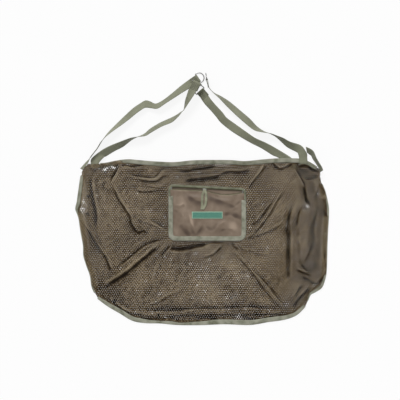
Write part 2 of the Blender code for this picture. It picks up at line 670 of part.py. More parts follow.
POCKET_Z = SEAM_Z + PANEL_LIFT + PANEL_THICKNESS + REST_GAP
POCKET_BACK_Z = POCKET_Z + TAPE_THICKNESS + SEW_GAP
POCKET_EDGE_Z = POCKET_BACK_Z + POCKET_FABRIC + SEW_GAP
ZIP_Z = POCKET_BACK_Z + POCKET_FABRIC + ZIP_STANDOFF
POCKET_TOP_Z = ZIP_Z + ZIP_TAPE_THICKNESS + REST_GAP
ZIP_SLOT = SLIDER_PILLAR / 2 + REST_GAP
ZIP_TAPE_START = ZIP_SLOT + TOOTH_REACH + TOOTH_SPINE + REST_GAP


def on_pocket(along_it, below):
    """A point of the pocket from distances along and below its top edge."""
    origin, along, across = pocket_frame()
    return origin + along * along_it + across * below


def zip_bow(along_it):
    """How far the lower row has left the closed line, right of the slider."""
    start = SLIDER_PLACE_SHARE * POCKET_WIDTH + SLIDER_LENGTH / 2
    end = POCKET_WIDTH - POCKET_TAPE_WIDTH
    share = min(max((along_it - start) / (end - start), 0.0), 1.0)
    return ZIP_OPEN_GAP * math.sin(math.pi * share)


def build_pocket():
    cloth = material("pocket_cloth", (0.26, 0.20, 0.155), 0.45)
    tape = material("binding_tape", (0.24, 0.27, 0.19), 0.85)
    deep = TAPE_THICKNESS + SEW_GAP
    origin, along, across = pocket_frame()
    right = origin + along * (POCKET_WIDTH / along.x)
    low = origin.y - POCKET_DEPTH
    corners = [Vector((origin.x + deep, low + deep)), Vector((right.x - deep, low + deep)),
               right + Vector((-deep, -deep)), origin + Vector((deep, -deep))]
    finish_mesh("pocket_back", lambda bm: plate(bm, corners, POCKET_BACK_Z,
                                                POCKET_BACK_Z + POCKET_FABRIC), cloth, smooth=False)
    rows = pocket_front_rows(origin, right, low, deep)
    finish_mesh("pocket_front", lambda bm: sheet(bm, rows, POCKET_FABRIC), cloth)
    build_pocket_tapes(origin, right, low, tape)
    build_label()


def pocket_front_rows(origin, right, low, deep):
    """The bulged front piece, its top edge following the lower zip tape."""
    rows = []
    zip_clear = ZIP_INSET + SLIDER_WIDTH / 2 + 2 * REST_GAP
    side_shares = spaced(POCKET_COLUMNS, 0.075, 0.075)
    down_shares = spaced(POCKET_ROWS, 0.110, 0.048)
    across_width = right.x - origin.x - 2 * deep
    for j, v in enumerate(down_shares):
        row = []
        for i, u in enumerate(side_shares):
            x = origin.x + deep + across_width * u
            along_it = (x - origin.x)
            top = on_pocket(along_it, zip_clear + zip_bow(along_it))
            y = low + deep + (top.y - low - deep) * v
            level_u = side_shares[min(max(i, 1), len(side_shares) - 2)]
            level_v = down_shares[max(j, 1)]
            side = smoothstep((min(level_u, 1 - level_u) - side_shares[1]) / 0.20)
            foot = smoothstep((level_v - down_shares[1]) / 0.20)
            head = smoothstep((level_v - down_shares[-3]) / (down_shares[-2] - down_shares[-3]))
            crown = POCKET_CROWN * side * foot * (1 - head)
            z = POCKET_EDGE_Z + crown + (POCKET_TOP_Z - POCKET_EDGE_Z) * head
            row.append(Vector((x, y, z)))
        rows.append(row)
    return rows


def build_pocket_tapes(origin, right, low, tape):
    """Tape folded over the pocket's sides and bottom, and a deeper one over its top."""
    head = POCKET_SHOULDER
    opening = 2 * POCKET_FABRIC + 3 * SEW_GAP
    path = [Vector((origin.x, origin.y - head)), Vector((origin.x, low)), Vector((right.x, low)),
            Vector((right.x, right.y - head))]
    inwards = normals_of(path, 1)
    sections = channel(path, inwards, POCKET_TAPE_WIDTH, [POCKET_Z] * len(path), opening, TAPE_THICKNESS)
    finish_mesh("pocket_binding", lambda bm: loft(bm, sections), tape, smooth=False)
    tall = POCKET_TOP_Z + POCKET_FABRIC + SEW_GAP - POCKET_Z - TAPE_THICKNESS
    lower = head - REST_GAP
    path = [Vector((origin.x, origin.y - lower)), origin, right, Vector((right.x, right.y - lower))]
    inwards = normals_of(path, -1)
    tops = channel(path, inwards, TOP_TAPE_WIDTH, [POCKET_Z] * len(path), tall, TAPE_THICKNESS)
    finish_mesh("pocket_top_binding", lambda bm: loft(bm, tops), tape, smooth=False)


def build_label():
    """A bare woven label on the flat of the pocket's front."""
    teal = material("label_weave", (0.10, 0.28, 0.20), 0.7)
    origin = pocket_frame()[0]
    below = ZIP_INSET + RIBBON_LENGTH + LABEL_BELOW_RIBBON + LABEL_HEIGHT / 2
    middle = Vector((origin.x + POCKET_WIDTH * LABEL_PLACE_SHARE, origin.y - below))
    half_width, half_height = LABEL_WIDTH / 2, LABEL_HEIGHT / 2
    outline = [middle + Vector((sx * half_width, sy * half_height))
               for sx, sy in ((-1, -1), (1, -1), (1, 1), (-1, 1))]
    low = POCKET_EDGE_Z + POCKET_CROWN + POCKET_FABRIC + REST_GAP
    finish_mesh("blank_label", lambda bm: plate(bm, outline, low, low + LABEL_THICKNESS), teal,
                smooth=False)


# Zip

def comb_outline(start, end, side):
    """Outline of one row of teeth: straight back, teeth pointing at the zip's centre line."""
    bow = zip_bow if side > 0 else (lambda along_it: 0.0)
    shift = TOOTH_PITCH / 2 if side > 0 else 0.0
    tip, root = ZIP_SLOT, ZIP_SLOT + TOOTH_REACH
    back = root + TOOTH_SPINE
    front, rear = [], []
    count = int((end - start - TOOTH_PITCH) / TOOTH_PITCH)
    for k in range(count):
        at = start + shift + k * TOOTH_PITCH
        for along_it, reach in ((at, root), (at, tip), (at + TOOTH_WIDTH, tip), (at + TOOTH_WIDTH, root)):
            front.append(on_pocket(along_it, ZIP_INSET + side * reach + bow(along_it)))
        rear.append(on_pocket(at, ZIP_INSET + side * back + bow(at)))
    at = start + shift + (count - 1) * TOOTH_PITCH + TOOTH_WIDTH
    rear.append(on_pocket(at, ZIP_INSET + side * back + bow(at)))
    return front + list(reversed(rear))


def tape_outline(start, end, side):
    """Outline of one zip tape, following its row of teeth."""
    bow = zip_bow if side > 0 else (lambda along_it: 0.0)
    near = ZIP_TAPE_START
    far = near + ZIP_TAPE_WIDTH if side > 0 else ZIP_INSET - TAPE_THICKNESS - SEW_GAP
    places = [start + (end - start) * k / PANEL_COLUMNS for k in range(PANEL_COLUMNS + 1)]
    inner = [on_pocket(p, ZIP_INSET + side * near + bow(p)) for p in places]
    outer = [on_pocket(p, ZIP_INSET + side * far + bow(p)) for p in places]
    return inner + list(reversed(outer))


def build_zip():
    tape = material("zip_tape", (0.16, 0.15, 0.11), 0.8)
    teeth = material("zip_teeth", (0.10, 0.09, 0.07), 0.4)
    metal = material("zip_metal", (0.30, 0.30, 0.28), 0.35, 1.0)
    start = TOP_TAPE_WIDTH / 2
    end = POCKET_WIDTH - start
    teeth_start, teeth_end = TOP_TAPE_WIDTH + END_TAB_LENGTH, POCKET_WIDTH - TOP_TAPE_WIDTH - END_TAB_LENGTH
    teeth_z = ZIP_Z + ZIP_TAPE_THICKNESS / 2 - TOOTH_HEIGHT / 2
    for name, side in (("upper", -1), ("lower", 1)):
        strip = tape_outline(start, end, side)
        comb = comb_outline(teeth_start + REST_GAP, teeth_end, side)
        finish_mesh("zip_tape_" + name, lambda bm, o=strip: plate(bm, o, ZIP_Z, ZIP_Z + ZIP_TAPE_THICKNESS),
                    tape, smooth=False)
        finish_mesh("zip_teeth_" + name, lambda bm, o=comb: plate(bm, o, teeth_z, teeth_z + TOOTH_HEIGHT),
                    teeth, smooth=False)
    build_end_tabs(metal, teeth_start, teeth_end)
    build_slider(metal, teeth_z)


def build_end_tabs(metal, teeth_start, teeth_end):
    """A clip across both tapes at each end of the teeth."""
    low = ZIP_Z + ZIP_TAPE_THICKNESS + REST_GAP
    half = ZIP_TAPE_START + REST_GAP
    for name, at in (("zip_stop_left", teeth_start - END_TAB_LENGTH / 2),
                     ("zip_stop_right", teeth_end + REST_GAP)):
        corners = [on_pocket(at, ZIP_INSET - half - SLIDER_PLATE),
                   on_pocket(at, ZIP_INSET + half + SLIDER_PLATE),
                   on_pocket(at + END_TAB_LENGTH / 2, ZIP_INSET + half + SLIDER_PLATE),
                   on_pocket(at + END_TAB_LENGTH / 2, ZIP_INSET - half - SLIDER_PLATE)]
        finish_mesh(name, lambda bm, c=corners: plate(bm, c, low, low + SLIDER_PLATE), metal, smooth=False)


def slider_outline(length, width, nose_share):
    """Rounded plan of the slider's plates, wider at its leading end."""
    half, nose = width / 2, width * nose_share / 2
    return [(-length / 2, -nose), (length / 4, -half), (length / 2, -half * nose_share),
            (length / 2, half * nose_share), (length / 4, half), (-length / 2, nose)]


def build_slider(metal, teeth_z):
    """Two plates joined by a pillar between the rows, with a lug on top for the ribbon."""
    along_it = SLIDER_PLACE_SHARE * POCKET_WIDTH
    centre = on_pocket(along_it, ZIP_INSET)
    angle = math.atan2(-POCKET_TOP_DROP, POCKET_WIDTH)
    outline = slider_outline(SLIDER_LENGTH, SLIDER_WIDTH, 0.75)
    under_top = teeth_z + TOOTH_HEIGHT + REST_GAP
    over_bottom = teeth_z - REST_GAP
    bar_z = under_top + SLIDER_PLATE + REST_GAP + RIBBON_THICKNESS + REST_GAP + LUG_BAR / 2

    def box(bm, low, high):
        plate(bm, [(low[0], low[1]), (high[0], low[1]), (high[0], high[1]), (low[0], high[1])],
              low[2], high[2])

    parts = []

    def piece(maker):
        mesh = bpy.data.meshes.new("slider_piece")
        bm = bmesh.new()
        maker(bm)
        bmesh.ops.recalc_face_normals(bm, faces=bm.faces)
        bm.to_mesh(mesh)
        bm.free()
        made = bpy.data.objects.new("slider_piece", mesh)
        bpy.context.scene.collection.objects.link(made)
        parts.append(made)

    sink = SLIDER_PLATE / 2
    piece(lambda bm: plate(bm, outline, under_top, under_top + SLIDER_PLATE))
    piece(lambda bm: plate(bm, outline, over_bottom - SLIDER_PLATE, over_bottom))
    pillar = SLIDER_PILLAR / 2
    piece(lambda bm: box(bm, (SLIDER_LENGTH / 4, -pillar, over_bottom - sink),
                         (SLIDER_LENGTH / 2 - REST_GAP, pillar, under_top + sink)))
    bar = LUG_BAR / 2
    for side in (-1, 1):
        near, far = side * LUG_SPAN / 2, side * (LUG_SPAN / 2 + LUG_BAR)
        low, high = min(near, far), max(near, far)
        piece(lambda bm, a=low, b=high: box(bm, (a, -bar, under_top + sink), (b, bar, bar_z + bar)))
    reach = LUG_SPAN / 2 + LUG_BAR / 2
    ring = [(bar * math.cos(2 * math.pi * (k + 0.5) / WIRE_SIDES),
             bar * math.sin(2 * math.pi * (k + 0.5) / WIRE_SIDES)) for k in range(WIRE_SIDES)]
    piece(lambda bm: loft(bm, [[Vector((x, y, bar_z + z)) for y, z in ring] for x in (-reach, reach)]))
    slider = parts[0]
    slider.name = "zip_slider"
    slider.data.name = "zip_slider"
    for other in parts[1:]:
        join = slider.modifiers.new("join", "BOOLEAN")
        join.operation = "UNION"
        join.object = other
        other.hide_render = True
        other.display_type = "WIRE"
    slider.data.materials.append(metal)
    for part in parts:
        part.matrix_world = Matrix.Translation((centre.x, centre.y, 0)) @ Matrix.Rotation(angle, 4, "Z")
    print("slider", tuple(round(c, 5) for c in centre), "angle", round(math.degrees(angle), 4),
          "bar z", round(bar_z, 5))
    build_ribbon(centre, angle, bar_z)


def build_ribbon(centre, angle, bar_z):
    """A loop of ribbon that passes under and over the lug's bar and is sewn at its far end."""
    cord = material("pull_ribbon", (0.42, 0.42, 0.30), 0.75)
    radius = LUG_BAR / 2 + REST_GAP + RIBBON_THICKNESS / 2
    crown = POCKET_EDGE_Z + POCKET_CROWN + POCKET_FABRIC + REST_GAP + RIBBON_THICKNESS / 2 - bar_z
    crown += REST_GAP
    far, spread = RIBBON_LENGTH, RIBBON_WIDTH * 0.45
    stack = RIBBON_THICKNESS + REST_GAP
    low_run = [(-spread, -far, crown), (-spread * 0.9, -far * 0.55, crown),
               (-spread * 0.4, -far * 0.30, crown), (0, -far * 0.10, (crown - radius) / 2)]
    turn = [(0, radius * math.sin(a), -radius * math.cos(a))
            for a in (math.pi * k / LOOP_SECTIONS for k in range(LOOP_SECTIONS + 1))]
    high_run = [(0, -far * 0.10, radius), (spread * 0.4, -far * 0.30, crown + stack * 1.4),
                (spread * 0.5, -far * 0.55, crown + stack * 1.2), (-spread * 0.8, -far, crown + stack)]
    edges = []
    half = Vector((RIBBON_WIDTH / 2, 0, 0))
    for x, y, z in low_run + turn + high_run:
        middle = Vector((x, y, z))
        edges.append((middle - half, middle + half))
    sections = ribbon(edges, RIBBON_THICKNESS)
    made = finish_mesh("pull_ribbon", lambda bm: loft(bm, sections), cord)
    made.matrix_world = Matrix.Translation((centre.x, centre.y, bar_z)) @ Matrix.Rotation(angle, 4, "Z")


def main():
    for old in list(bpy.data.objects):
        bpy.data.objects.remove(old, do_unlink=True)
    build_bag()
    build_legs()
    build_pocket()
    build_zip()


main()
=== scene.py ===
import math

import bmesh
import bpy
import numpy as np
from mathutils import Matrix, Vector
from mathutils.bvhtree import BVHTree


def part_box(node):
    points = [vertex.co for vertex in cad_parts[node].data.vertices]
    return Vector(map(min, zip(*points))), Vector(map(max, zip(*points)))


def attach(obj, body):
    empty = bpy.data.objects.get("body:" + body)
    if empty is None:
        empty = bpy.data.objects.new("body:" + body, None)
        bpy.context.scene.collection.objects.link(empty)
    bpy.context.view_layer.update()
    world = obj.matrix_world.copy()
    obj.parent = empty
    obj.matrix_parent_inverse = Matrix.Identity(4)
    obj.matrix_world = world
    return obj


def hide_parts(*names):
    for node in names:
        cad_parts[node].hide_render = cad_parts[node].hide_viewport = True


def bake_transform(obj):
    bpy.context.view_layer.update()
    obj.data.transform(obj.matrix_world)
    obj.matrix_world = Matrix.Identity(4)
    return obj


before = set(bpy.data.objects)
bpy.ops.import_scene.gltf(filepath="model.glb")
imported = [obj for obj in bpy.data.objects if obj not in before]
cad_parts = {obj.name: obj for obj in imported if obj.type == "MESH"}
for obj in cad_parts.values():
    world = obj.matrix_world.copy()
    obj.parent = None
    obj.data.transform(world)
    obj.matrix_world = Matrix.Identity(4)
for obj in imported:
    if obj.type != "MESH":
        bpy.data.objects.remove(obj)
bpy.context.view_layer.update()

# The sling lies flat on a white floor, its mouth and rings towards +Y. Metres throughout, apart
# from the tables in millimetres or in steps of the drawing, which say so.

FLOOR_Z, FLOOR_REACH = -0.0002, 30
CAMERA_HEIGHT, CAMERA_LENS = 3.343, 100
DRAWING_STEP = 0.003        # metres that one step of the drawing stands for
DRAWING_MIDDLE = (202.25, 198.75)


def at(px, py):
    """A point of the drawing of the bag, laid out in the sling's own plane."""
    return Vector(((px - DRAWING_MIDDLE[0]) * DRAWING_STEP, (DRAWING_MIDDLE[1] - py) * DRAWING_STEP))


def drawing_x(x):
    return x / DRAWING_STEP + DRAWING_MIDDLE[0]


def drawing_y(y):
    return DRAWING_MIDDLE[1] - y / DRAWING_STEP


def stand(name, data):
    """A new object in the scene."""
    made = bpy.data.objects.new(name, data)
    bpy.context.scene.collection.objects.link(made)
    return made


def look_straight_down():
    lens = bpy.data.cameras.new("overhead_lens")
    lens.lens = CAMERA_LENS
    camera = stand("overhead_camera", lens)
    camera.location = (*at(200, 200), CAMERA_HEIGHT)
    bpy.context.scene.camera = camera


# Small tools for lines, lattices and meshes

def smooth_line(points, steps):
    """Points on a Catmull-Rom curve through the given ones, steps per stretch."""
    points = [Vector(p) for p in points]
    ends = [2 * points[0] - points[1]] + points + [2 * points[-1] - points[-2]]
    line = []
    for i in range(1, len(ends) - 2):
        a, b, c, d = ends[i - 1:i + 3]
        for step in range(steps):
            t = step / steps
            line.append(0.5 * (2 * b + (c - a) * t + (2 * a - 5 * b + 4 * c - d) * t * t
                               + (3 * b - a - 3 * c + d) * t * t * t))
    return line + [points[-1]]


def reach_along(line):
    """Distance from the first point to each point of a line."""
    steps = [0.0] + [(b - a).length for a, b in zip(line, line[1:])]
    return np.cumsum(steps)


def even_line(line, count):
    """The same line with count + 1 points at equal distances."""
    reach = reach_along(line)
    values = np.array([tuple(p) for p in line])
    wanted = np.linspace(0, reach[-1], count + 1)
    columns = [np.interp(wanted, reach, values[:, k]) for k in range(values.shape[1])]
    return [Vector(p) for p in zip(*columns)]


def smoothstep(value):
    value = np.clip(value, 0.0, 1.0)
    return value * value * (3 - 2 * value)


def blur(field, reach):
    """Gaussian blur of a lattice by reach steps."""
    half = int(3 * reach) + 1
    weights = np.exp(-0.5 * (np.arange(-half, half + 1) / reach) ** 2)
    weights /= weights.sum()
    for axis in (0, 1):
        margins = [(half, half) if a == axis else (0, 0) for a in (0, 1)]
        padded = np.pad(field, margins, mode="edge")
        count = field.shape[axis]
        field = sum(w * np.take(padded, range(k, k + count), axis) for k, w in enumerate(weights))
    return field


def new_object(name, vertices, faces, finish=None, smooth=True):
    mesh = bpy.data.meshes.new(name)
    mesh.from_pydata([tuple(v) for v in vertices], [], faces)
    mesh.polygons.foreach_set("use_smooth", [smooth] * len(mesh.polygons))
    if finish is not None:
        mesh.materials.append(finish)
    return stand(name, mesh)


def carry(mesh, name, values, kind="FLOAT", field="value"):
    """Stores a number, or a vector, at each point of a mesh."""
    mesh.attributes.new(name, kind, "POINT").data.foreach_set(field, np.array(values, float).ravel())


def skin(name, sections, finish, closed=True, uv=None):
    """Bridges rows of points. A closed row runs round a tube, whose two ends are capped."""
    rows = np.array(sections, float)
    count, around = rows.shape[:2]
    spans = around if closed else around - 1
    faces, corners = [], []
    for i in range(count - 1):
        for k in range(spans):
            n = (k + 1) % around
            faces.append((i * around + k, i * around + n, (i + 1) * around + n, (i + 1) * around + k))
            corners += [(i, k), (i, k + 1), (i + 1, k + 1), (i + 1, k)]
    if closed:
        faces.append(tuple(reversed(range(around))))
        faces.append(tuple((count - 1) * around + k for k in range(around)))
        corners += [(0, k) for k in reversed(range(around))] + [(count - 1, k) for k in range(around)]
    made = new_object(name, rows.reshape(-1, 3), faces, finish)
    if uv is not None:
        layer = made.data.uv_layers.new(name="weave")
        layer.data.foreach_set("uv", np.array([uv[i][k] for i, k in corners], float).ravel())
    return made


def settle(made):
    """Turns an object with modifiers into a plain mesh of its own."""
    graph = bpy.context.evaluated_depsgraph_get()
    mesh = bpy.data.meshes.new_from_object(made.evaluated_get(graph))
    made.modifiers.clear()
    made.data = mesh
    mesh.name = made.name
    return made


def thickened(made, thickness):
    """Gives a sheet its thickness, half of it on either side."""
    wall = made.modifiers.new("wall", "SOLIDIFY")
    wall.thickness = thickness
    wall.offset = 0
    return settle(made)


def outward(made):
    """Points a closed shape's faces outwards."""
    bm = bmesh.new()
    bm.from_mesh(made.data)
    bmesh.ops.recalc_face_normals(bm, faces=bm.faces)
    bm.to_mesh(made.data)
    bm.free()
    return made


# Node trees, a node at a time

class Link:
    """A node's output that takes part in plain sums."""

    def __init__(self, plan, socket):
        self.plan = plan
        self.socket = socket

    def __add__(self, other):
        return self.plan.maths("ADD", self, other)

    def __radd__(self, other):
        return self.plan.maths("ADD", other, self)

    def __sub__(self, other):
        return self.plan.maths("SUBTRACT", self, other)

    def __rsub__(self, other):
        return self.plan.maths("SUBTRACT", other, self)

    def __mul__(self, other):
        return self.plan.maths("MULTIPLY", self, other)

    def __rmul__(self, other):
        return self.plan.maths("MULTIPLY", other, self)

    def __truediv__(self, other):
        return self.plan.maths("DIVIDE", self, other)

    def __rtruediv__(self, other):
        return self.plan.maths("DIVIDE", other, self)

    def output(self, name):
        return Link(self.plan, self.socket.node.outputs[name])


class Plan:
    """One node tree, built a node at a time."""

    def __init__(self, tree):
        self.tree = tree

    def add(self, kind, settings=None, inputs=None, out=0):
        node = self.tree.nodes.new(kind)
        for name, value in (settings or {}).items():
            if name == "stops":
                self.set_stops(node.color_ramp, value)
            else:
                setattr(node, name, value)
        for key, value in (inputs or {}).items():
            self.feed(node.inputs[key], value)
        return Link(self, node.outputs[out]) if len(node.outputs) else None

    def feed(self, socket, value):
        if isinstance(value, Link):
            self.tree.links.new(value.socket, socket)
        else:
            socket.default_value = value

    def set_stops(self, ramp, stops):
        while len(ramp.elements) < len(stops):
            ramp.elements.new(1.0)
        for element, (where, colour) in zip(ramp.elements, stops):
            element.position = where
            element.color = colour

    def maths(self, operation, first, second=0.0):
        return self.add("ShaderNodeMath", {"operation": operation}, {0: first, 1: second})

    def vectors(self, operation, first, second):
        return self.add("ShaderNodeVectorMath", {"operation": operation}, {0: first, 1: second})

    def scaled(self, vector, factor):
        return self.add("ShaderNodeVectorMath", {"operation": "SCALE"}, {0: vector, "Scale": factor})

    def parts(self, vector):
        split = self.add("ShaderNodeSeparateXYZ", inputs={0: vector})
        return split, split.output("Y"), split.output("Z")

    def joined(self, x, y, z):
        return self.add("ShaderNodeCombineXYZ", inputs={"X": x, "Y": y, "Z": z})

    def noise(self, scale, detail=2.0, where=None):
        links = {"Scale": scale, "Detail": detail}
        if where is not None:
            links["Vector"] = where
        return self.add("ShaderNodeTexNoise", inputs=links)

    def here(self):
        return self.add("GeometryNodeInputPosition")

    def named(self, name, kind="FLOAT"):
        return self.add("GeometryNodeInputNamedAttribute", {"data_type": kind}, {"Name": name})

    def moved(self, geometry, key, value):
        return self.add("GeometryNodeSetPosition", inputs={"Geometry": geometry, key: value})

    def stored(self, geometry, name, kind, value):
        return self.add("GeometryNodeStoreNamedAttribute", {"data_type": kind, "domain": "POINT"},
                        {"Geometry": geometry, "Name": name, "Value": value})


def paint(red, green, blue):
    """A colour as it is seen, 0 to 255, made linear for the shaders."""
    linear = []
    for level in (red, green, blue):
        share = level / 255
        linear.append(share / 12.92 if share <= 0.04045 else ((share + 0.055) / 1.055) ** 2.4)
    return (*linear, 1.0)


class Finish(Plan):
    """A material whose pattern comes from coordinates and ends in one shader."""

    def __init__(self, name, fixed):
        self.surface = bpy.data.materials.new(name)
        self.surface.use_nodes = True
        super().__init__(self.surface.node_tree)
        self.shader = self.tree.nodes["Principled BSDF"]
        for socket, value in fixed.items():
            self.shader.inputs[socket].default_value = value
        self.place = self.add("ShaderNodeTexCoord", out="Object")

    def weave(self):
        """Distances along and across the cloth, in metres."""
        return self.parts(self.add("ShaderNodeUVMap", {"uv_map": "weave"}))[:2]

    def ripple(self, distance, pitch, shift=0.0):
        """A wave from 0 to 1 over a distance."""
        turned = distance * (2 * math.pi / pitch) + shift
        return self.maths("SINE", turned) * 0.5 + 0.5

    def over(self, value, low, high):
        """0 below low, 1 above high, smooth between them."""
        return self.add("ShaderNodeMapRange", {"interpolation_type": "SMOOTHSTEP"},
                        {"Value": value, "From Min": low, "From Max": high})

    def mix(self, factor, first, second):
        return self.add("ShaderNodeMix", {"data_type": "RGBA"}, {0: factor, 6: first, 7: second}, out=2)

    def ramp(self, factor, *stops):
        return self.add("ShaderNodeValToRGB", {"stops": stops}, {"Fac": factor})

    def attribute(self, name):
        return self.add("ShaderNodeAttribute", {"attribute_name": name}, out="Fac")

    def colour(self, value):
        self.feed(self.shader.inputs["Base Color"], value)

    def rough(self, value):
        self.feed(self.shader.inputs["Roughness"], value)

    def raised(self, height, depth, strength):
        bump = self.add("ShaderNodeBump", inputs={
            "Height": height, "Distance": depth, "Strength": strength})
        self.feed(self.shader.inputs["Normal"], bump)
        return self.surface


# Finishes

YARN_ROWS = 0.0098          # pitch of the net's slanting rows
TAFFETA_GRID = 0.0012
WEB_THICK, WEB_WIDE = 0.0015, 0.0250
LABEL_WIDE, LABEL_TALL = 0.0920, 0.0210


def net_yarn():
    net = Finish("net_yarn", {"Sheen Weight": 0.02, "Specular IOR Level": 0.1})
    x, y = net.parts(net.place)[:2]
    patches = net.noise(13.0, 4.0, net.place)
    knots = net.noise(200.0, 1.0, net.place)
    rows = net.ripple(x + y, YARN_ROWS) * 0.5 + net.ripple(x - y, YARN_ROWS) * 0.5
    yarns = net.noise(900.0, 1.0, net.place)
    tone = patches * 0.42 + knots * 0.50 + rows * 0.25 - 0.095
    brown = net.ramp(tone, (0.32, paint(48, 38, 25)), (0.50, paint(89, 75, 56)),
                     (0.68, paint(142, 126, 100)))
    # Painted shade: the carried shading value above 0 mixes the yarn towards near black; painted highlight:
    # below 0 it mixes it towards pale brown.
    hollow = net.attribute("hollow")
    shaded = net.mix(net.maths("MAXIMUM", hollow, 0.0), brown, paint(18, 12, 6))
    lit = net.mix(net.maths("MAXIMUM", hollow * -0.9, 0.0), shaded, paint(156, 143, 119))
    net.colour(lit)
    net.rough(yarns * 0.2 + 0.75)
    return net.raised(yarns, 0.0004, 0.6)


def grosgrain(name, light, dark, rib=0.0013):
    tape = Finish(name, {"Sheen Weight": 0.2, "Specular IOR Level": 0.35})
    ribs = tape.ripple(tape.weave()[0], rib)
    fibres = tape.noise(900.0, 2.0, tape.place)
    cloudy = tape.noise(52.0, 3.0, tape.place)
    tone = cloudy * 0.7 + ribs * 0.18 + fibres * 0.12
    tape.colour(tape.ramp(tone, (0.34, dark), (0.58, light)))
    tape.rough(fibres * 0.2 + 0.7)
    return tape.raised(ribs * 0.8 + fibres * 0.2, 0.0003, 0.7)


def strap_weave():
    strap = Finish("strap_weave", {"Sheen Weight": 0.15, "Specular IOR Level": 0.45})
    along, across = strap.weave()
    zigzag = strap.maths("PINGPONG", across, 0.0063)
    twill = strap.ripple(along + zigzag, 0.0021)
    yarns = strap.ripple(across, 0.0016)
    fibres = strap.noise(700.0, 2.0, strap.place)
    cloudy = strap.noise(16.0, 3.0, strap.place)
    tone = cloudy * 0.55 + twill * 0.25 + fibres * 0.2
    olive = strap.ramp(tone, (0.25, paint(98, 99, 78)), (0.5, paint(122, 124, 104)),
                       (0.75, paint(140, 141, 118)))
    edge = strap.maths("ABSOLUTE", across - WEB_WIDE / 2)
    selvedge = strap.over(edge, 0.0112, 0.0122)
    strap.colour(strap.mix(selvedge * 0.45, olive, paint(88, 90, 70)))
    strap.rough(fibres * 0.2 + 0.62)
    return strap.raised(twill * 0.6 + yarns * 0.25 + fibres * 0.15, 0.0004, 0.8)


def pocket_taffeta():
    cloth = Finish("pocket_taffeta", {"Sheen Weight": 0.15, "Specular IOR Level": 0.45})
    x, y = cloth.parts(cloth.place)[:2]
    grid = cloth.ripple(x, TAFFETA_GRID) * 0.5 + cloth.ripple(y, TAFFETA_GRID) * 0.5
    cloudy = cloth.noise(30.0, 3.0, cloth.place)
    fibres = cloth.noise(1200.0, 1.0, cloth.place)
    tone = cloudy * 0.75 + fibres * 0.15 + grid * 0.1
    taupe = cloth.ramp(tone, (0.34, paint(98, 81, 66)), (0.52, paint(114, 98, 82)),
                       (0.70, paint(130, 114, 98)))
    # Painted shade towards dark brown in creases and dark patches, painted highlight towards pale taupe on
    # crests and pale patches.
    hollow = cloth.attribute("hollow")
    dark = cloth.mix(cloth.over(hollow, 0.02, 0.75) * 0.85, taupe, paint(60, 44, 32))
    cloth.colour(cloth.mix(cloth.over(hollow * -1.0, 0.03, 0.7) * 0.85, dark, paint(160, 142, 124)))
    cloth.rough(cloudy * 0.15 + 0.45)
    return cloth.raised(grid * 0.7 + fibres * 0.3, 0.0002, 0.4)


def bright_wire(name, shade, rough):
    wire = Finish(name, {"Metallic": 1.0})
    smudges = wire.noise(180.0, 3.0, wire.place)
    scratches = wire.noise(1500.0, 2.0, wire.place)
    dull = tuple(level * 0.72 for level in shade[:3]) + (1.0,)
    wire.colour(wire.mix(wire.over(smudges, 0.35, 0.7), dull, shade))
    wire.rough(smudges * 0.16 + rough)
    return wire.raised(scratches, 0.00005, 0.4)


def woven_label():
    label = Finish("label_weave", {"Sheen Weight": 0.2})
    along, across = label.weave()
    edge_x = label.maths("ABSOLUTE", along - LABEL_WIDE / 2)
    edge_y = label.maths("ABSOLUTE", across - LABEL_TALL / 2)
    border = label.maths("MAXIMUM", label.over(edge_x, 0.0432, 0.0440), label.over(edge_y, 0.0078, 0.0086))
    threads = label.ripple(across, 0.0007)
    picks = label.ripple(along, 0.0009)
    fuzz = label.noise(500.0, 2.0, label.place)
    tone = fuzz * 0.6 + threads * 0.2 + picks * 0.2
    teal = label.ramp(tone, (0.3, paint(50, 104, 88)), (0.7, paint(84, 138, 120)))
    pale = label.ramp(tone, (0.3, paint(120, 158, 136)), (0.7, paint(152, 184, 160)))
    label.colour(label.mix(border, teal, pale))
    label.rough(fuzz * 0.2 + 0.6)
    return label.raised(threads * 0.5 + picks * 0.5, 0.0002, 0.7)


def grained(name, fixed, scale, light, dark, rough, depth, strength):
    """A finish whose colour, roughness and relief follow one fine grain."""
    made = Finish(name, fixed)
    grain = made.noise(scale, 2.0, made.place)
    made.colour(made.ramp(grain, (0.35, dark), (0.65, light)))
    made.rough(grain * 0.2 + rough)
    return made.raised(grain, depth, strength)


def thread(name, light, dark):
    return grained(name, {"Sheen Weight": 0.2}, 1600.0, light, dark, 0.5, 0.0001, 0.5)


def white_floor():
    """White to the camera and to mirrors, with the object's soft shadow kept on it."""
    surface = bpy.data.materials.new("white_floor")
    surface.use_nodes = True
    floor = Plan(surface.node_tree)
    surface.node_tree.nodes.clear()
    path = floor.add("ShaderNodeLightPath", out="Is Camera Ray")
    seen = floor.maths("MAXIMUM", path, path.output("Is Glossy Ray"))
    seen = floor.maths("MAXIMUM", seen, path.output("Is Transmission Ray"))
    matt = floor.add("ShaderNodeBsdfDiffuse", inputs={"Color": (0.8, 0.8, 0.8, 1.0)})
    glow = floor.add("ShaderNodeEmission", inputs={"Color": (1, 1, 1, 1), "Strength": 1.0})
    mixed = floor.add("ShaderNodeMixShader", inputs={0: seen * 0.88, 1: matt, 2: glow})
    floor.add("ShaderNodeOutputMaterial", inputs={"Surface": mixed})
    return surface


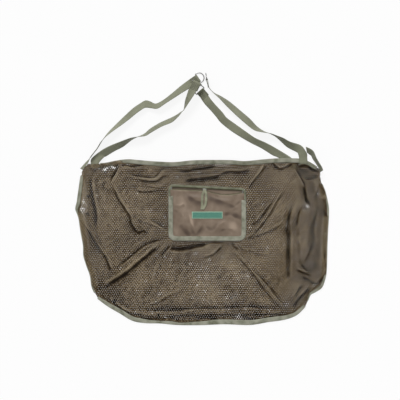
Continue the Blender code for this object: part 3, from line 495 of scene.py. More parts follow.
NET = net_yarn()
TAPE = grosgrain("binding_grosgrain", paint(149, 149, 134), paint(88, 90, 70))
# A darker olive grosgrain, for the pocket's top tape.
DARKER_TAPE = grosgrain("worn_grosgrain", paint(122, 124, 102), paint(66, 68, 50))
ZIP_TAPE = grosgrain("zip_tape_weave", paint(112, 110, 82), paint(80, 78, 56), 0.0010)
RIBBON = grosgrain("pull_ribbon_weave", paint(146, 147, 124), paint(106, 107, 86), 0.0010)
STRAP = strap_weave()
TAFFETA = pocket_taffeta()
CHROME = bright_wire("ring_chrome", (0.36, 0.36, 0.35, 1.0), 0.16)
SLIDER_METAL = bright_wire("slider_metal", (0.34, 0.34, 0.31, 1.0), 0.25)
TEETH = grained("coil_nylon", {"Specular IOR Level": 0.5}, 900.0, paint(72, 66, 50), paint(44, 40, 30),
                0.35, 0.00008, 0.4)
LABEL = woven_label()
PALE_THREAD = thread("pale_thread", paint(176, 178, 156), paint(132, 134, 112))
DARK_THREAD = thread("dark_thread", paint(62, 62, 48), paint(34, 34, 26))


# Geometry trees: net cells, stitches and zip teeth

CELL_SHARE = 0.75           # a net cell's opening as a share of the cell


def geometry_plan(name, inputs):
    tree = bpy.data.node_groups.new(name, "GeometryNodeTree")
    tree.interface.new_socket("Geometry", in_out="INPUT", socket_type="NodeSocketGeometry")
    tree.interface.new_socket("Geometry", in_out="OUTPUT", socket_type="NodeSocketGeometry")
    for label, kind in inputs:
        tree.interface.new_socket(label, in_out="INPUT", socket_type="NodeSocket" + kind)
    plan = Plan(tree)
    return plan, plan.add("NodeGroupInput")


def finish_tree(plan, geometry, material):
    named = plan.add("GeometryNodeSetMaterial", inputs={"Geometry": geometry, "Material": material})
    plan.add("NodeGroupOutput", inputs={0: named})
    return plan.tree


def run_tree(made, tree, values):
    """Runs a tree over an object and keeps the result as its plain mesh."""
    modifier = made.modifiers.new(tree.name, "NODES")
    modifier.node_group = tree
    for item in tree.interface.items_tree:
        if item.in_out == "INPUT" and item.name in values:
            modifier[item.identifier] = values[item.name]
    made.update_tag()
    return settle(made)


def net_tree():
    """A hexagon lattice of net cells dropped on a rumpled lattice that carries their sizes."""
    plan, given = geometry_plan("net_cells", [
        ("Cell", "Object"), ("Pitch", "Float"), ("Columns", "Int"), ("Rows", "Int"), ("Middle", "Vector"),
        ("Edge", "Float"), ("Hole", "Float"), ("Seed", "Float"), ("Yarn", "Material")])
    pitch, edge = given.output("Pitch"), given.output("Edge")
    columns, rows = given.output("Columns"), given.output("Rows")
    row_pitch = pitch * (math.sqrt(3) / 2)
    net = plan.add("GeometryNodeMeshGrid", inputs={
        "Size X": (columns - 1) * pitch, "Size Y": (rows - 1) * row_pitch,
        "Vertices X": columns, "Vertices Y": rows})
    row = plan.maths("ROUND", plan.parts(plan.here())[1] / row_pitch + 400.0)
    shift = plan.maths("MODULO", row, 2.0) * pitch * 0.5
    shift = plan.vectors("ADD", plan.joined(shift, 0.0, 0.0), given.output("Middle"))
    net = plan.moved(net, "Offset", shift)

    def below(kind, inputs, out):
        """What the rumpled lattice has straight below a point."""
        x, y = plan.parts(plan.here())[:2]
        return plan.add("GeometryNodeRaycast", {"data_type": kind}, {
            "Target Geometry": given, "Source Position": plan.joined(x, y, 1.0),
            "Ray Direction": (0, 0, -1), "Ray Length": 2.0, **inputs}, out=out)

    def sampled(name, kind="FLOAT"):
        return below(kind, {"Attribute": plan.named(name, kind)}, "Attribute")

    inside = plan.add("FunctionNodeCompare", {"data_type": "FLOAT", "operation": "LESS_THAN"},
                      {0: sampled("edge_gap"), 1: edge - 0.0012})
    net = plan.add("GeometryNodeDeleteGeometry", {"domain": "POINT"}, {"Geometry": net, "Selection": inside})
    net = plan.stored(net, "cell_middle", "FLOAT_VECTOR", plan.here())
    cell = plan.add("GeometryNodeObjectInfo", inputs={"Object": given.output("Cell")}, out="Geometry")
    net = plan.add("GeometryNodeInstanceOnPoints", inputs={"Points": net, "Instance": cell})
    net = plan.add("GeometryNodeRealizeInstances", inputs={"Geometry": net})
    net = plan.add("GeometryNodeMergeByDistance", inputs={"Geometry": net, "Distance": 0.0002})
    middle, spot = plan.named("cell_middle", "FLOAT_VECTOR"), plan.here()
    seeded = plan.vectors("ADD", middle, plan.joined(given.output("Seed"), 0.0, 0.0))
    uneven = plan.noise(700.0, 1.0, seeded)
    size = given.output("Hole") + sampled("slack") + (uneven - 0.5) * 0.16
    away = plan.vectors("SUBTRACT", spot, middle)
    net = plan.moved(net, "Offset", plan.scaled(away, (size / CELL_SHARE - 1.0) * plan.named("rim")))
    drift = plan.add("ShaderNodeTexNoise", inputs={"Vector": spot, "Scale": 45.0, "Detail": 1.0},
                     out="Color")
    net = plan.moved(net, "Offset", plan.scaled(plan.vectors("SUBTRACT", drift, (0.5, 0.5, 0.5)), 0.006))
    short = plan.maths("MAXIMUM", edge - sampled("edge_gap"), 0.0)
    net = plan.moved(net, "Offset", plan.scaled(sampled("inwards", "FLOAT_VECTOR"), short))
    net = plan.moved(net, "Position", below("FLOAT", {}, "Hit Position"))
    # The cells take over the lattice's painted shade and highlight values.
    net = plan.stored(net, "hollow", "FLOAT", sampled("hollow"))
    net = plan.add("GeometryNodeSetShadeSmooth", inputs={"Geometry": net})
    return finish_tree(plan, net, given.output("Yarn"))


def bead_tree():
    """Small beads along seam lines: stitches, or the teeth of a coil zip."""
    plan, given = geometry_plan("seam_beads", [
        ("Spacing", "Float"), ("Size", "Vector"), ("Turn", "Float"), ("Sway", "Float"), ("Seed", "Int"),
        ("Thread", "Material")])
    line = plan.add("GeometryNodeMeshToCurve", inputs={"Mesh": given})
    line = plan.add("GeometryNodeResampleCurve", {"mode": "LENGTH"},
                    {"Curve": line, "Length": given.output("Spacing")})
    tangent = plan.add("GeometryNodeInputTangent")
    up = plan.named("up", "FLOAT_VECTOR")
    facing = plan.add("FunctionNodeAxesToRotation", {"primary_axis": "X", "secondary_axis": "Z"},
                      {"Primary Axis": tangent, "Secondary Axis": up})
    sway = plan.add("FunctionNodeRandomValue", {"data_type": "FLOAT"}, {
        "Min": given.output("Sway") * -1.0, "Max": given.output("Sway"),
        "Seed": given.output("Seed")}, out=1)
    turned = plan.add("FunctionNodeRotateRotation", {"rotation_space": "LOCAL"}, {
        "Rotation": facing, "Rotate By": plan.joined(0.0, 0.0, sway + given.output("Turn"))})
    bead = plan.add("GeometryNodeMeshIcoSphere", inputs={"Radius": 0.5, "Subdivisions": 1})
    beads = plan.add("GeometryNodeInstanceOnPoints", inputs={
        "Points": line, "Instance": bead, "Rotation": turned, "Scale": given.output("Size")})
    beads = plan.add("GeometryNodeRealizeInstances", inputs={"Geometry": beads})
    beads = plan.add("GeometryNodeSetShadeSmooth", inputs={"Geometry": beads})
    return finish_tree(plan, beads, given.output("Thread"))


NET_TREE = net_tree()
BEAD_TREE = bead_tree()


def beads(name, chains, spacing, size, finish, turn=0.0, sway=0.06, seed=1):
    """Beads along chains of (point, up) pairs."""
    vertices, edges, ups = [], [], []
    for chain in chains:
        first = len(vertices)
        vertices += [tuple(point) for point, up in chain]
        ups += [tuple(up) for point, up in chain]
        edges += [(k, k + 1) for k in range(first, len(vertices) - 1)]
    mesh = bpy.data.meshes.new(name)
    mesh.from_pydata(vertices, edges, [])
    carry(mesh, "up", ups, "FLOAT_VECTOR", "vector")
    return run_tree(stand(name, mesh), BEAD_TREE, {
        "Spacing": spacing, "Size": size, "Turn": turn, "Sway": sway, "Seed": seed, "Thread": finish})


# The bag's outline, in millimetres, from the mouth's left end round to it again

MOUTH_MM = [
    (-342.8, 107.2), (-314.2, 107.2), (-288.7, 108.7), (-258.8, 114.7), (-222.7, 118.7), (-186.8, 115.7),
    (-132.7, 111.7), (-81.8, 110.2), (-21.7, 115.7), (77.2, 116.2), (128.2, 113.2), (179.2, 117.8),
    (221.2, 121.1), (263.2, 121.7), (293.2, 120.5), (317.3, 113.2), (338.2, 101.2), (356.2, 87.8),
]
LEFT_MM = [
    (-342.8, 107.2), (-354.7, 96.7), (-365.2, 74.2), (-372.7, 26.2), (-377.8, -9.8), (-381.8, -30.8),
    (-372.7, -57.8), (-366.8, -96.8), (-359.2, -138.8), (-357.7, -171.8), (-348.7, -201.8),
    (-338.2, -231.8), (-332.2, -267.8), (-315.8, -300.7),
]
BOTTOM_MM = [
    (-315.8, -300.7), (-282.8, -324.8), (-246.7, -345.8), (-210.7, -366.8), (-171.7, -374.2),
    (-126.8, -375.1), (-75.8, -379.7), (-6.8, -380.2), (68.2, -377.6), (143.3, -379.7), (197.2, -371.3),
    (248.2, -363.8), (284.2, -350.2), (311.2, -324.8),
]
RIGHT_MM = [
    (356.2, 87.8), (357.8, 56.2), (371.2, 20.2), (380.2, -21.8), (381.1, -51.8), (377.2, -123.8),
    (376.1, -171.8), (374.2, -219.8), (369.0, -246.0), (359.8, -267.8), (341.5, -280.8), (326.2, -289.2),
    (320.2, -303.0), (311.2, -324.8),
]


def outline(table, count):
    return even_line(smooth_line([(x / 1000, y / 1000) for x, y in table], 10), count)


MOUTH, LEFT = outline(MOUTH_MM, 260), outline(LEFT_MM, 150)
BOTTOM, RIGHT = outline(BOTTOM_MM, 240), outline(RIGHT_MM, 150)

# Sewn heights and widths
TAPE_THICK = 0.0008
SEAM_TALL = 0.0047          # folded tape over both panels
MOUTH_TALL = 0.0034         # folded tape over one panel
BACK_NET_Z = 0.0017
NET_PITCH = 0.0066
NET_EDGE = 0.0016           # from the outline to the net's cut edge
NET_WIDE, NET_DEEP = 0.780, 0.520
NET_MIDDLE = (0.0, -0.1300, 0.0)
LEAF = 0.0138               # width of a leaf of a straight tape
SIDE_LEAF, BOTTOM_LEAF = 0.0148, 0.0168
STITCH_INSET = 0.0022       # from a tape's free edge to its stitches
SIDE_TAPE_TOP, SIDE_TAPE_FOOT = 0.0430, 0.0176      # lengths of the sides that have no side tape
LATTICE_STEP = 0.0016
CLOTH_THICK = 0.0006
POCKET_CORNER = Vector((-0.1012, 0.0440))
POCKET_ALONG = Vector((0.2325, -0.0120)).normalized()
POCKET_ACROSS = Vector((POCKET_ALONG.y, -POCKET_ALONG.x))
POCKET_WIDE, POCKET_DEEP = 0.2325, 0.1700
POCKET_LOW = POCKET_CORNER.y - POCKET_DEEP
POCKET_RIGHT = POCKET_CORNER + POCKET_ALONG * (POCKET_WIDE / POCKET_ALONG.x)
POCKET_Z = 0.0149
POCKET_INSET = 0.0013       # from the pocket's outline to its cloth
POCKET_RIM, POCKET_HEAD = 0.0173, 0.0197
LOW_CORNER, TOP_CORNER = 0.024, 0.017
SLIDER_PLACE = 0.470 * POCKET_WIDE
ZIP_DOWN = 0.0115           # zip's centre line below the pocket's top edge

# Pleats of the front net: height in mm and width of the ridge, depth of shade and width of the dark
# line at its foot, the side of the line that the ridge is on (1 for the left), then the line.
# Widths and lines are in steps of the drawing.
NET_PLEATS = [
    (4.5, 1.9, 1.0, 1.5, 1, [(90.4, 173), (91.3, 187), (93, 197.5), (95.7, 210), (96.6, 218), (95, 229)]),
    (2.0, 1.2, 0.5, 0.7, 1, [(107, 181), (103.8, 186.5), (108, 189.8), (112, 186.5)]),
    (3.6, 1.4, 0.8, 0.9, 1, [(110, 184), (115.4, 191.3), (118, 197.5), (122.5, 204.6), (127, 210.9),
        (130.5, 217), (131.6, 222.5), (135.9, 228.8)]),
    (2.0, 1.2, 1.0, 1.1, 1, [(131.2, 220), (134, 227), (138.6, 231.8), (143, 230.2), (149, 232.6)]),
    (3.0, 1.6, 0.9, 1.0, 1, [(118.5, 163), (117, 169.8), (114.5, 175.2), (109.5, 183)]),
    (2.5, 1.5, 0.8, 0.9, -1, [(120, 166.4), (126, 165.6), (131.4, 166.8), (138, 166.2), (146, 164.6)]),
    (3.0, 1.5, 0.8, 0.9, 1, [(134, 177.6), (143, 180.5), (151, 181.3), (157.3, 181), (161, 178),
        (165, 176), (171, 178.4)]),
    (2.4, 1.4, 0.6, 0.8, -1, [(126, 173), (136, 176), (146, 177.5), (153.8, 177.9), (159, 173.4),
        (161.5, 170.4), (167, 168.9), (177, 169.9)]),
    (3.0, 1.6, 1.0, 1.2, -1, [(174, 170.8), (185, 172.5), (192, 170.9), (200, 169.8), (211, 168.4),
        (221, 166.2)]),
    (3.4, 1.6, 1.0, 1.8, 1, [(182, 181.4), (194, 178.8), (203, 178.2), (212, 177), (222, 174.6)]),
    (2.4, 1.4, 0.9, 1.0, 1, [(218, 175.4), (228, 171.6), (239, 172), (251, 169.6)]),
    (2.2, 1.3, 0.7, 0.8, 1, [(135, 188.6), (140.4, 191.3), (149.3, 191.4), (158.2, 190.4),
        (170.5, 190.9)]),
    (2.0, 1.2, 0.5, 0.7, 1, [(145, 185.4), (156.4, 187.8), (167, 186.6)]),
    (2.0, 1.4, 0.6, 0.8, -1, [(148, 217.6), (154.6, 222), (160, 225.2), (168, 231.2)]),
    (1.6, 1.4, 0.3, 0.7, 1, [(134, 217), (143, 221.6), (154.6, 226), (166.4, 232)]),
    (3.0, 1.5, 0.8, 1.0, 1, [(168, 237.4), (158.2, 240.4), (150.2, 243), (144.8, 245.7), (138.6, 250.2),
        (131.4, 256.4), (122.5, 263.6), (113, 270.6)]),
    (5.0, 2.1, 1.0, 1.5, -1, [(163, 244.4), (152.9, 250), (145.7, 256.5), (140.4, 260.5), (133.2, 266.5),
        (126, 272.5), (118, 278), (110, 283), (102, 288)]),
    (2.8, 1.3, 0.9, 1.0, -1, [(161.6, 256.2), (166.3, 250.8), (171, 244.6)]),
    (2.5, 2.2, 1.0, 2.0, -1, [(168, 246.4), (172.9, 249.2), (180.4, 249.6), (188.6, 248.8), (196, 246.8),
        (203.6, 245.4), (211, 242.2)]),
    (1.6, 1.2, 0.7, 0.8, -1, [(203, 246), (210, 243), (217.4, 243), (226, 243)]),
    (2.0, 1.3, 0.8, 0.9, 1, [(202, 257.2), (210, 255.6), (215.8, 251.6), (224, 243.6)]),
    (3.0, 1.3, 0.9, 1.1, 1, [(80.6, 221.4), (89.5, 231.4), (94.8, 240.4), (100.2, 249.3), (106.4, 257.3),
        (110, 267), (113, 272)]),
    (2.0, 1.2, 0.3, 0.7, 1, [(79, 217), (85, 226), (91, 236), (97, 247), (103, 258)]),
    (1.6, 1.2, 0.7, 0.9, -1, [(96, 290), (103, 288.6), (112, 285)]),
    (2.5, 1.6, 0.9, 0.8, 1, [(99, 295), (109.9, 299.7), (116.5, 305.2), (124, 310.6), (131.4, 313.4),
        (138.9, 314.4), (149.7, 316.5), (157.1, 317.7), (164.6, 317)]),
    (2.4, 1.5, 0.9, 0.8, 1, [(158, 317.6), (176.2, 315.8), (192.8, 315), (214.4, 314.7), (242.3, 314.6),
        (263, 314.2), (279.6, 313.6), (294, 311.6)]),
    (2.4, 1.7, 0.7, 1.5, -1, [(134, 308.6), (156.3, 310.6), (174.6, 310.4), (197, 308.4), (214, 308.6),
        (234, 308), (250.6, 307.2), (267.2, 308.4), (281, 307.6)]),
    (1.8, 1.2, 0.7, 0.9, 1, [(231, 241), (235, 246), (239, 251)]),
    (1.7, 1.1, 0.65, 0.8, 1, [(233.6, 248), (238.4, 256), (245, 264), (251, 271), (257, 279),
        (262.4, 286.6), (269, 294.8), (275.4, 302.6), (284, 311)]),
    (1.7, 1.1, 0.6, 0.8, -1, [(250, 268.4), (258.1, 275.2), (265.4, 282.6), (272, 290.9), (279, 300),
        (290, 311)]),
    (1.6, 1.2, 0.5, 0.7, 1, [(236, 243), (244, 249.9), (250.6, 250.4), (258.1, 254.1), (268, 255)]),
    (1.4, 1.0, 0.5, 0.7, 1, [(234.6, 252), (238.4, 259.4)]),
    (3.0, 2.4, 0.28, 2.0, -1, [(292.6, 200), (288.6, 213), (286.2, 225), (287, 240), (286.4, 258),
        (286.4, 272), (288, 284)]),
    (3.0, 2.2, 0.44, 3.8, 1, [(293.4, 201), (290.4, 213), (288.6, 225), (289.8, 238), (289.4, 256),
        (289.2, 271), (290, 283)]),
    (2.0, 1.2, 0.7, 1.0, 1, [(300.4, 209), (298.8, 214), (297.6, 221), (297, 228)]),
    (1.8, 1.2, 0.6, 1.0, -1, [(300.6, 209.4), (304.6, 208.4), (309, 212)]),
    (1.6, 1.4, 0.4, 1.4, 1, [(299.4, 228), (298.4, 238), (299.4, 248), (301, 258)]),
    (1.8, 1.2, 0.6, 1.0, -1, [(296.6, 260), (301, 265), (306.6, 271), (311.6, 276)]),
    (1.8, 1.4, 0.5, 1.2, -1, [(325.6, 250), (323.8, 260), (323, 270)]),
    (3.0, 2.0, 0.46, 3.4, 1, [(318.6, 205), (316, 217.5), (314, 230.9), (314.6, 241), (312, 250),
        (305, 260)]),
    (3.0, 1.8, 1.0, 1.5, 1, [(302.6, 182.6), (305.7, 192.5), (306.8, 199), (312, 205)]),
    (3.4, 1.1, 0.8, 0.9, -1, [(295, 167.6), (299.6, 176.4), (303.8, 184.6), (304.6, 188)]),
    (2.0, 1.2, 0.6, 0.8, -1, [(320, 178), (317.6, 190), (313, 201)]),
    (1.6, 1.0, 0.8, 1.1, 1, [(321.6, 181), (323, 187), (326, 195)]),
    (1.8, 1.1, 0.7, 0.9, 1, [(316, 206.6), (323.6, 210.6), (328.6, 216.6)]),
    (2.4, 1.3, 1.0, 0.9, 1, [(270.6, 161.2), (276.3, 166.6), (281, 168.6), (287.9, 165.7), (294, 162.6)]),
    (2.4, 1.4, 0.9, 1.5, -1, [(296, 169), (304.8, 166.2), (310.2, 169.6), (319, 173.6)]),
    (2.4, 1.4, 0.8, 1.1, -1, [(302.6, 177.6), (311, 180), (320, 175)]),
    (2.6, 1.3, 0.6, 0.8, 1, [(246.6, 191), (250.6, 184.6), (257.2, 176.4), (262.6, 169), (266, 163.4)]),
    (2.2, 1.5, 0.6, 0.9, 1, [(242.6, 238.6), (250, 236.6), (257.5, 229.4), (264.6, 220.6), (270.9, 211.5),
        (278, 199), (287, 187)]),
    (2.0, 1.5, 0.4, 0.9, 1, [(247, 238.4), (260, 234.4), (271, 230), (281, 224), (284.6, 213),
        (287, 201)]),
    (1.6, 1.2, 0.6, 1.4, 1, [(249, 226), (257.5, 219.9), (266.4, 208.6), (273, 200)]),
    (2.6, 1.4, 1.0, 1.8, 1, [(291.6, 308), (297, 300.5), (302.8, 293.9), (311, 286)]),
    (2.0, 1.2, 0.9, 1.0, 1, [(294, 297.6), (298.6, 289), (301, 285)]),
    (2.6, 1.4, 0.9, 1.3, 1, [(300, 275), (309.5, 279.8), (316.1, 283.1), (323.6, 277.4)]),
    (2.0, 1.2, 0.9, 1.0, 1, [(295.6, 268), (302.8, 272.4), (307, 273.2), (312, 277)]),
    (1.8, 1.2, 0.7, 1.0, -1, [(309, 252), (306.6, 257), (303.6, 262.6)]),
    (1.6, 1.2, 0.8, 1.1, -1, [(324.6, 250), (324.4, 259), (326, 269), (324, 277)]),
    (1.6, 1.4, 0.5, 0.8, 1, [(148, 306), (156, 303), (166, 297), (176, 292)]),
    (1.8, 1.1, 0.9, 0.9, 1, [(139, 316.4), (147, 318.4), (153, 319.6), (159, 322.4)]),
    (1.8, 1.1, 0.9, 0.9, -1, [(162, 320.4), (168, 318), (174, 319.4), (180, 321.6)]),
    (2.0, 1.2, 1.0, 1.0, -1, [(196, 321.4), (201, 319), (207, 318.4), (213, 319.4), (218, 321)]),
    (1.8, 1.2, 0.8, 0.8, 1, [(244, 316), (252, 318.4), (260, 319.4), (266, 317.6), (274, 316.2)]),
]

# Broad painted shade of the net above 0 and painted highlight below 0: (x, y, reach across, reach down,
# amount)
NET_SHADING_PATCHES = [
    (84, 194, 7, 19, -0.75), (90, 258, 10, 26, 0.32), (116, 210, 13, 17, -0.22), (148, 205, 16, 13, 0.1),
    (208, 173, 36, 8, 0.62), (251, 206, 6, 18, 0.25), (277, 176, 16, 7, -0.16), (298, 228, 5, 34, -0.22),
    (200, 282, 60, 22, -0.16), (108, 299, 14, 8, 0.25), (311, 268, 9, 9, 0.28), (308, 170, 13, 7, 0.5),
    (252, 318, 38, 2.6, 0.85), (196, 319, 26, 2.4, 0.4), (150, 318, 14, 2.2, 0.55),
    (101, 166, 9, 4, 0.35), (311, 192, 5, 9, 0.35), (100, 196, 4, 22, -0.18), (145, 262, 22, 8, -0.12),
    (281, 232, 4, 36, -0.16),
]

# Where only one layer of net lies, or it is pulled open: (x, y, reach across, reach down, amount)
BRIGHT_SPOTS = [
    (104, 168.6, 5, 2.6, 1.6), (112, 166, 5, 2.8, 1.6), (80.8, 206, 4.0, 10, 1.5), (308, 208, 4, 3, 0.4),
    (326.6, 232, 2.6, 12, 0.5), (172.5, 317.6, 4, 1.6, 0.9), (240, 317.4, 5, 1.8, 0.7),
    (224, 164.6, 8, 1.5, 1.0), (191, 165, 9, 1.5, 0.8), (282.5, 166.8, 4.4, 1.2, 0.5),
    (102.5, 268, 2.6, 3, 0.4), (98, 251, 2, 4, 0.4), (243, 281, 22, 14, 0.22), (206, 276, 16, 20, 0.25),
    (161, 294, 4, 2, 0.5), (288, 305, 4, 2.4, 0.4), (309, 263, 3, 3, 0.3), (128, 163.4, 6, 1.4, 0.8),
    (230, 298, 16, 8, 0.25), (307, 207, 4.4, 3, 0.9), (326.4, 232, 2, 11, 0.9), (204, 300, 8, 5, 0.3),
]


def lattice():
    xs = np.arange(-0.390, 0.3901, LATTICE_STEP)
    ys = np.arange(-0.390, 0.1311, LATTICE_STEP)
    return np.meshgrid(xs, ys)


def off_line(x, y, line):
    """Distance to a line, positive on its left, and how far along it the nearest point is."""
    nearest = np.full(x.shape, 9.0)
    side, share = np.zeros_like(x), np.zeros_like(x)
    for k, (start, end) in enumerate(zip(line, line[1:])):
        run = end - start
        t = ((x - start.x) * run.x + (y - start.y) * run.y) / run.length_squared
        held = np.clip(t, 0, 1)
        off_x, off_y = x - start.x - run.x * held, y - start.y - run.y * held
        gone = np.hypot(off_x, off_y)
        closer = gone < nearest
        nearest = np.where(closer, gone, nearest)
        side = np.where(closer, run.x * off_y - run.y * off_x, side)
        share = np.where(closer, (k + held) / (len(line) - 1), share)
    return np.where(side > 0, nearest, -nearest), share


def pleated(x, y, pleats):
    """Height that pleats add at each lattice point, and their painted shade and highlight."""
    relief, shade = np.zeros_like(x), np.zeros_like(x)
    for height, wide, dark, dark_wide, side, points in pleats:
        line = smooth_line([at(*p) for p in points], 4)
        wide, dark_wide = wide * DRAWING_STEP, dark_wide * DRAWING_STEP
        reach = 3.2 * max(wide, dark_wide)
        near = []
        for k, values in ((1, y[:, 0]), (0, x[0])):
            low, high = min(p[k] for p in line), max(p[k] for p in line)
            found = np.flatnonzero((values > low - reach) & (values < high + reach))
            near.append(slice(found[0], found[-1] + 1))
        near = tuple(near)
        off, share = off_line(x[near], y[near], line)
        off = off * side
        ends = smoothstep(share / 0.18) * smoothstep((1 - share) / 0.18)
        ridge = np.exp(-((off - wide) / wide) ** 2) * smoothstep(off / (0.7 * wide) + 0.5)
        foot = 0.35 * np.exp(-(off / (0.8 * wide)) ** 2)
        relief[near] += height / 1000 * (ridge - foot) * ends
        broken = 0.86 + 0.22 * np.sin(share * len(points) * 4 + height * 7)
        line_shade = dark * broken * np.exp(-((off + 0.25 * dark_wide) / (1.3 * dark_wide)) ** 2) * ends
        line_shade += 0.26 * dark * np.exp(-((off + dark_wide) / (2.8 * dark_wide)) ** 2) * ends
        # Painted highlight along each pleat's crest, taken off its shade.
        crest_highlight = np.exp(-((off - 0.9 * wide) / (0.6 * wide)) ** 2)
        shade[near] = np.maximum(shade[near], 1.1 * line_shade) - 0.66 * crest_highlight * ends * min(dark * 1.3, 1.0)
    return relief, shade


def rumples(x, y, reach, stretch, angle, seed):
    """Smooth random relief from -1 to 1, longer in one direction."""
    noise = np.random.default_rng(seed)
    turned_x = x * math.cos(angle) + y * math.sin(angle)
    turned_y = (y * math.cos(angle) - x * math.sin(angle)) * stretch
    total = np.zeros_like(x)
    for _ in range(28):
        way = noise.uniform(0, 2 * math.pi)
        length = reach * noise.uniform(0.7, 1.6)
        phase = noise.uniform(0, 2 * math.pi)
        gone = turned_x * math.cos(way) + turned_y * math.sin(way)
        total += np.sin(gone * 2 * math.pi / length + phase)
    return np.clip(total / 7, -1, 1)


def tops_of(node, x, y):
    """Height of a node's upper side over the lattice, carried on past its edge."""
    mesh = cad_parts[node].data
    tree = BVHTree.FromPolygons([v.co for v in mesh.vertices], [tuple(p.vertices) for p in mesh.polygons])
    heights = np.full(x.shape, np.nan)
    for j in range(x.shape[0]):
        for i in range(x.shape[1]):
            hit = tree.ray_cast((x[j, i], y[j, i], 1.0), (0, 0, -1))[0]
            if hit is not None:
                heights[j, i] = hit.z
    while np.isnan(heights).any():
        padded = np.pad(heights, 1, constant_values=np.nan)
        around = np.stack([padded[:-2, 1:-1], padded[2:, 1:-1], padded[1:-1, :-2], padded[1:-1, 2:]])
        known = ~np.isnan(around)
        count = known.sum(0)
        average = np.where(known, around, 0).sum(0) / np.maximum(count, 1)
        heights = np.where(np.isnan(heights) & (count > 0), average, heights)
    return heights


def off_outline(x, y, loop):
    """Distance to a closed outline, positive inside."""
    points = np.array([tuple(p) for p in loop])
    nearest, inside = np.full(x.shape, 9.0), np.zeros(x.shape, bool)
    for (ax, ay), (bx, by) in zip(points, np.roll(points, -1, 0)):
        run_x, run_y = bx - ax, by - ay
        if run_x == 0 and run_y == 0:
            continue
        t = np.clip(((x - ax) * run_x + (y - ay) * run_y) / (run_x ** 2 + run_y ** 2), 0, 1)
        nearest = np.minimum(nearest, np.hypot(x - ax - run_x * t, y - ay - run_y * t))
        if ay != by:
            inside ^= ((ay > y) != (by > y)) & (x < (bx - ax) * (y - ay) / (by - ay) + ax)
    return np.where(inside, nearest, -nearest)


def over_pocket(x, y, margin):
    beyond = np.maximum.reduce([
        POCKET_CORNER.x - x, x - POCKET_RIGHT.x, y - POCKET_CORNER.y, POCKET_LOW - y])
    return 1 - smoothstep(beyond / margin)


def spots(x, y, table):
    total = np.zeros_like(x)
    for px, py, across, down, amount in table:
        middle = at(px, py)
        total = np.maximum(total, amount * np.exp(-((x - middle.x) / (across * DRAWING_STEP)) ** 2
                                                  - ((y - middle.y) / (down * DRAWING_STEP)) ** 2))
    return total


def add_shading_patches(x, y, table, start):
    """Adds broad patches of painted shade (above 0) and painted highlight (below 0) one after another."""
    for px, py, across, down, amount in table:
        start = start + np.sign(amount) * spots(x, y, [(px, py, across, down, abs(amount))])
    return start


def rumpled_lattice(name, x, y, z, carried, inwards):
    rows, columns = x.shape
    index = np.arange(rows * columns).reshape(rows, columns)
    faces = np.stack([index[:-1, :-1], index[:-1, 1:], index[1:, 1:], index[1:, :-1]], -1).reshape(-1, 4)
    base = new_object(name, np.stack([x, y, z], -1).reshape(-1, 3), faces.tolist())
    for label, values in carried.items():
        carry(base.data, label, values)
    carry(base.data, "inwards", inwards, "FLOAT_VECTOR", "vector")
    return base


def net_cell(pitch, faces_up):
    """One cell of net: six short strips round a hexagon opening."""
    radius = pitch / math.sqrt(3)
    vertices = []
    for share in (1.0, CELL_SHARE):
        for k in range(6):
            a = math.radians(60 * k + 30)
            vertices.append((radius * share * math.cos(a), radius * share * math.sin(a), 0))
    faces = []
    for k in range(6):
        n = (k + 1) % 6
        faces.append((k, n, n + 6, k + 6) if faces_up else (k, k + 6, n + 6, n))
    cell = new_object("net_cell", vertices, faces)
    carry(cell.data, "rim", [0.0] * 6 + [1.0] * 6)
    return cell


def knit_net(name, x, y, z, carried, inwards, faces_up, hole, seed):
    base = rumpled_lattice(name, x, y, z, carried, inwards)
    cell = net_cell(NET_PITCH, faces_up)
    rows = int(NET_DEEP / (NET_PITCH * math.sqrt(3) / 2))
    columns = int(NET_WIDE / NET_PITCH)
    net = run_tree(base, NET_TREE, {
        "Cell": cell, "Pitch": NET_PITCH, "Columns": columns, "Rows": rows,
        "Middle": NET_MIDDLE, "Edge": NET_EDGE, "Hole": hole, "Seed": seed, "Yarn": NET})
    bpy.data.objects.remove(cell)
    return net


def shown_tape(x, y):
    """1 where the seam's tape lies over the net, 0 where the net rolls over the tape."""
    py = drawing_y(y)
    left = smoothstep((py - 170) / 6) * (1 - smoothstep((py - 211) / 5)) + smoothstep((py - 282) / 8)
    right = smoothstep((py - 197) / 4) * (1 - smoothstep((py - 214) / 5)) + smoothstep((py - 271) / 6)
    return np.where(x < 0, left, right)


def patchwork(x, block, seed):
    """Random levels from 0 to 1, the same over each small square of the lattice."""
    levels = np.random.default_rng(seed).random((x.shape[0] // block + 1, x.shape[1] // block + 1))
    return np.kron(levels, np.ones((block, block)))[:x.shape[0], :x.shape[1]]


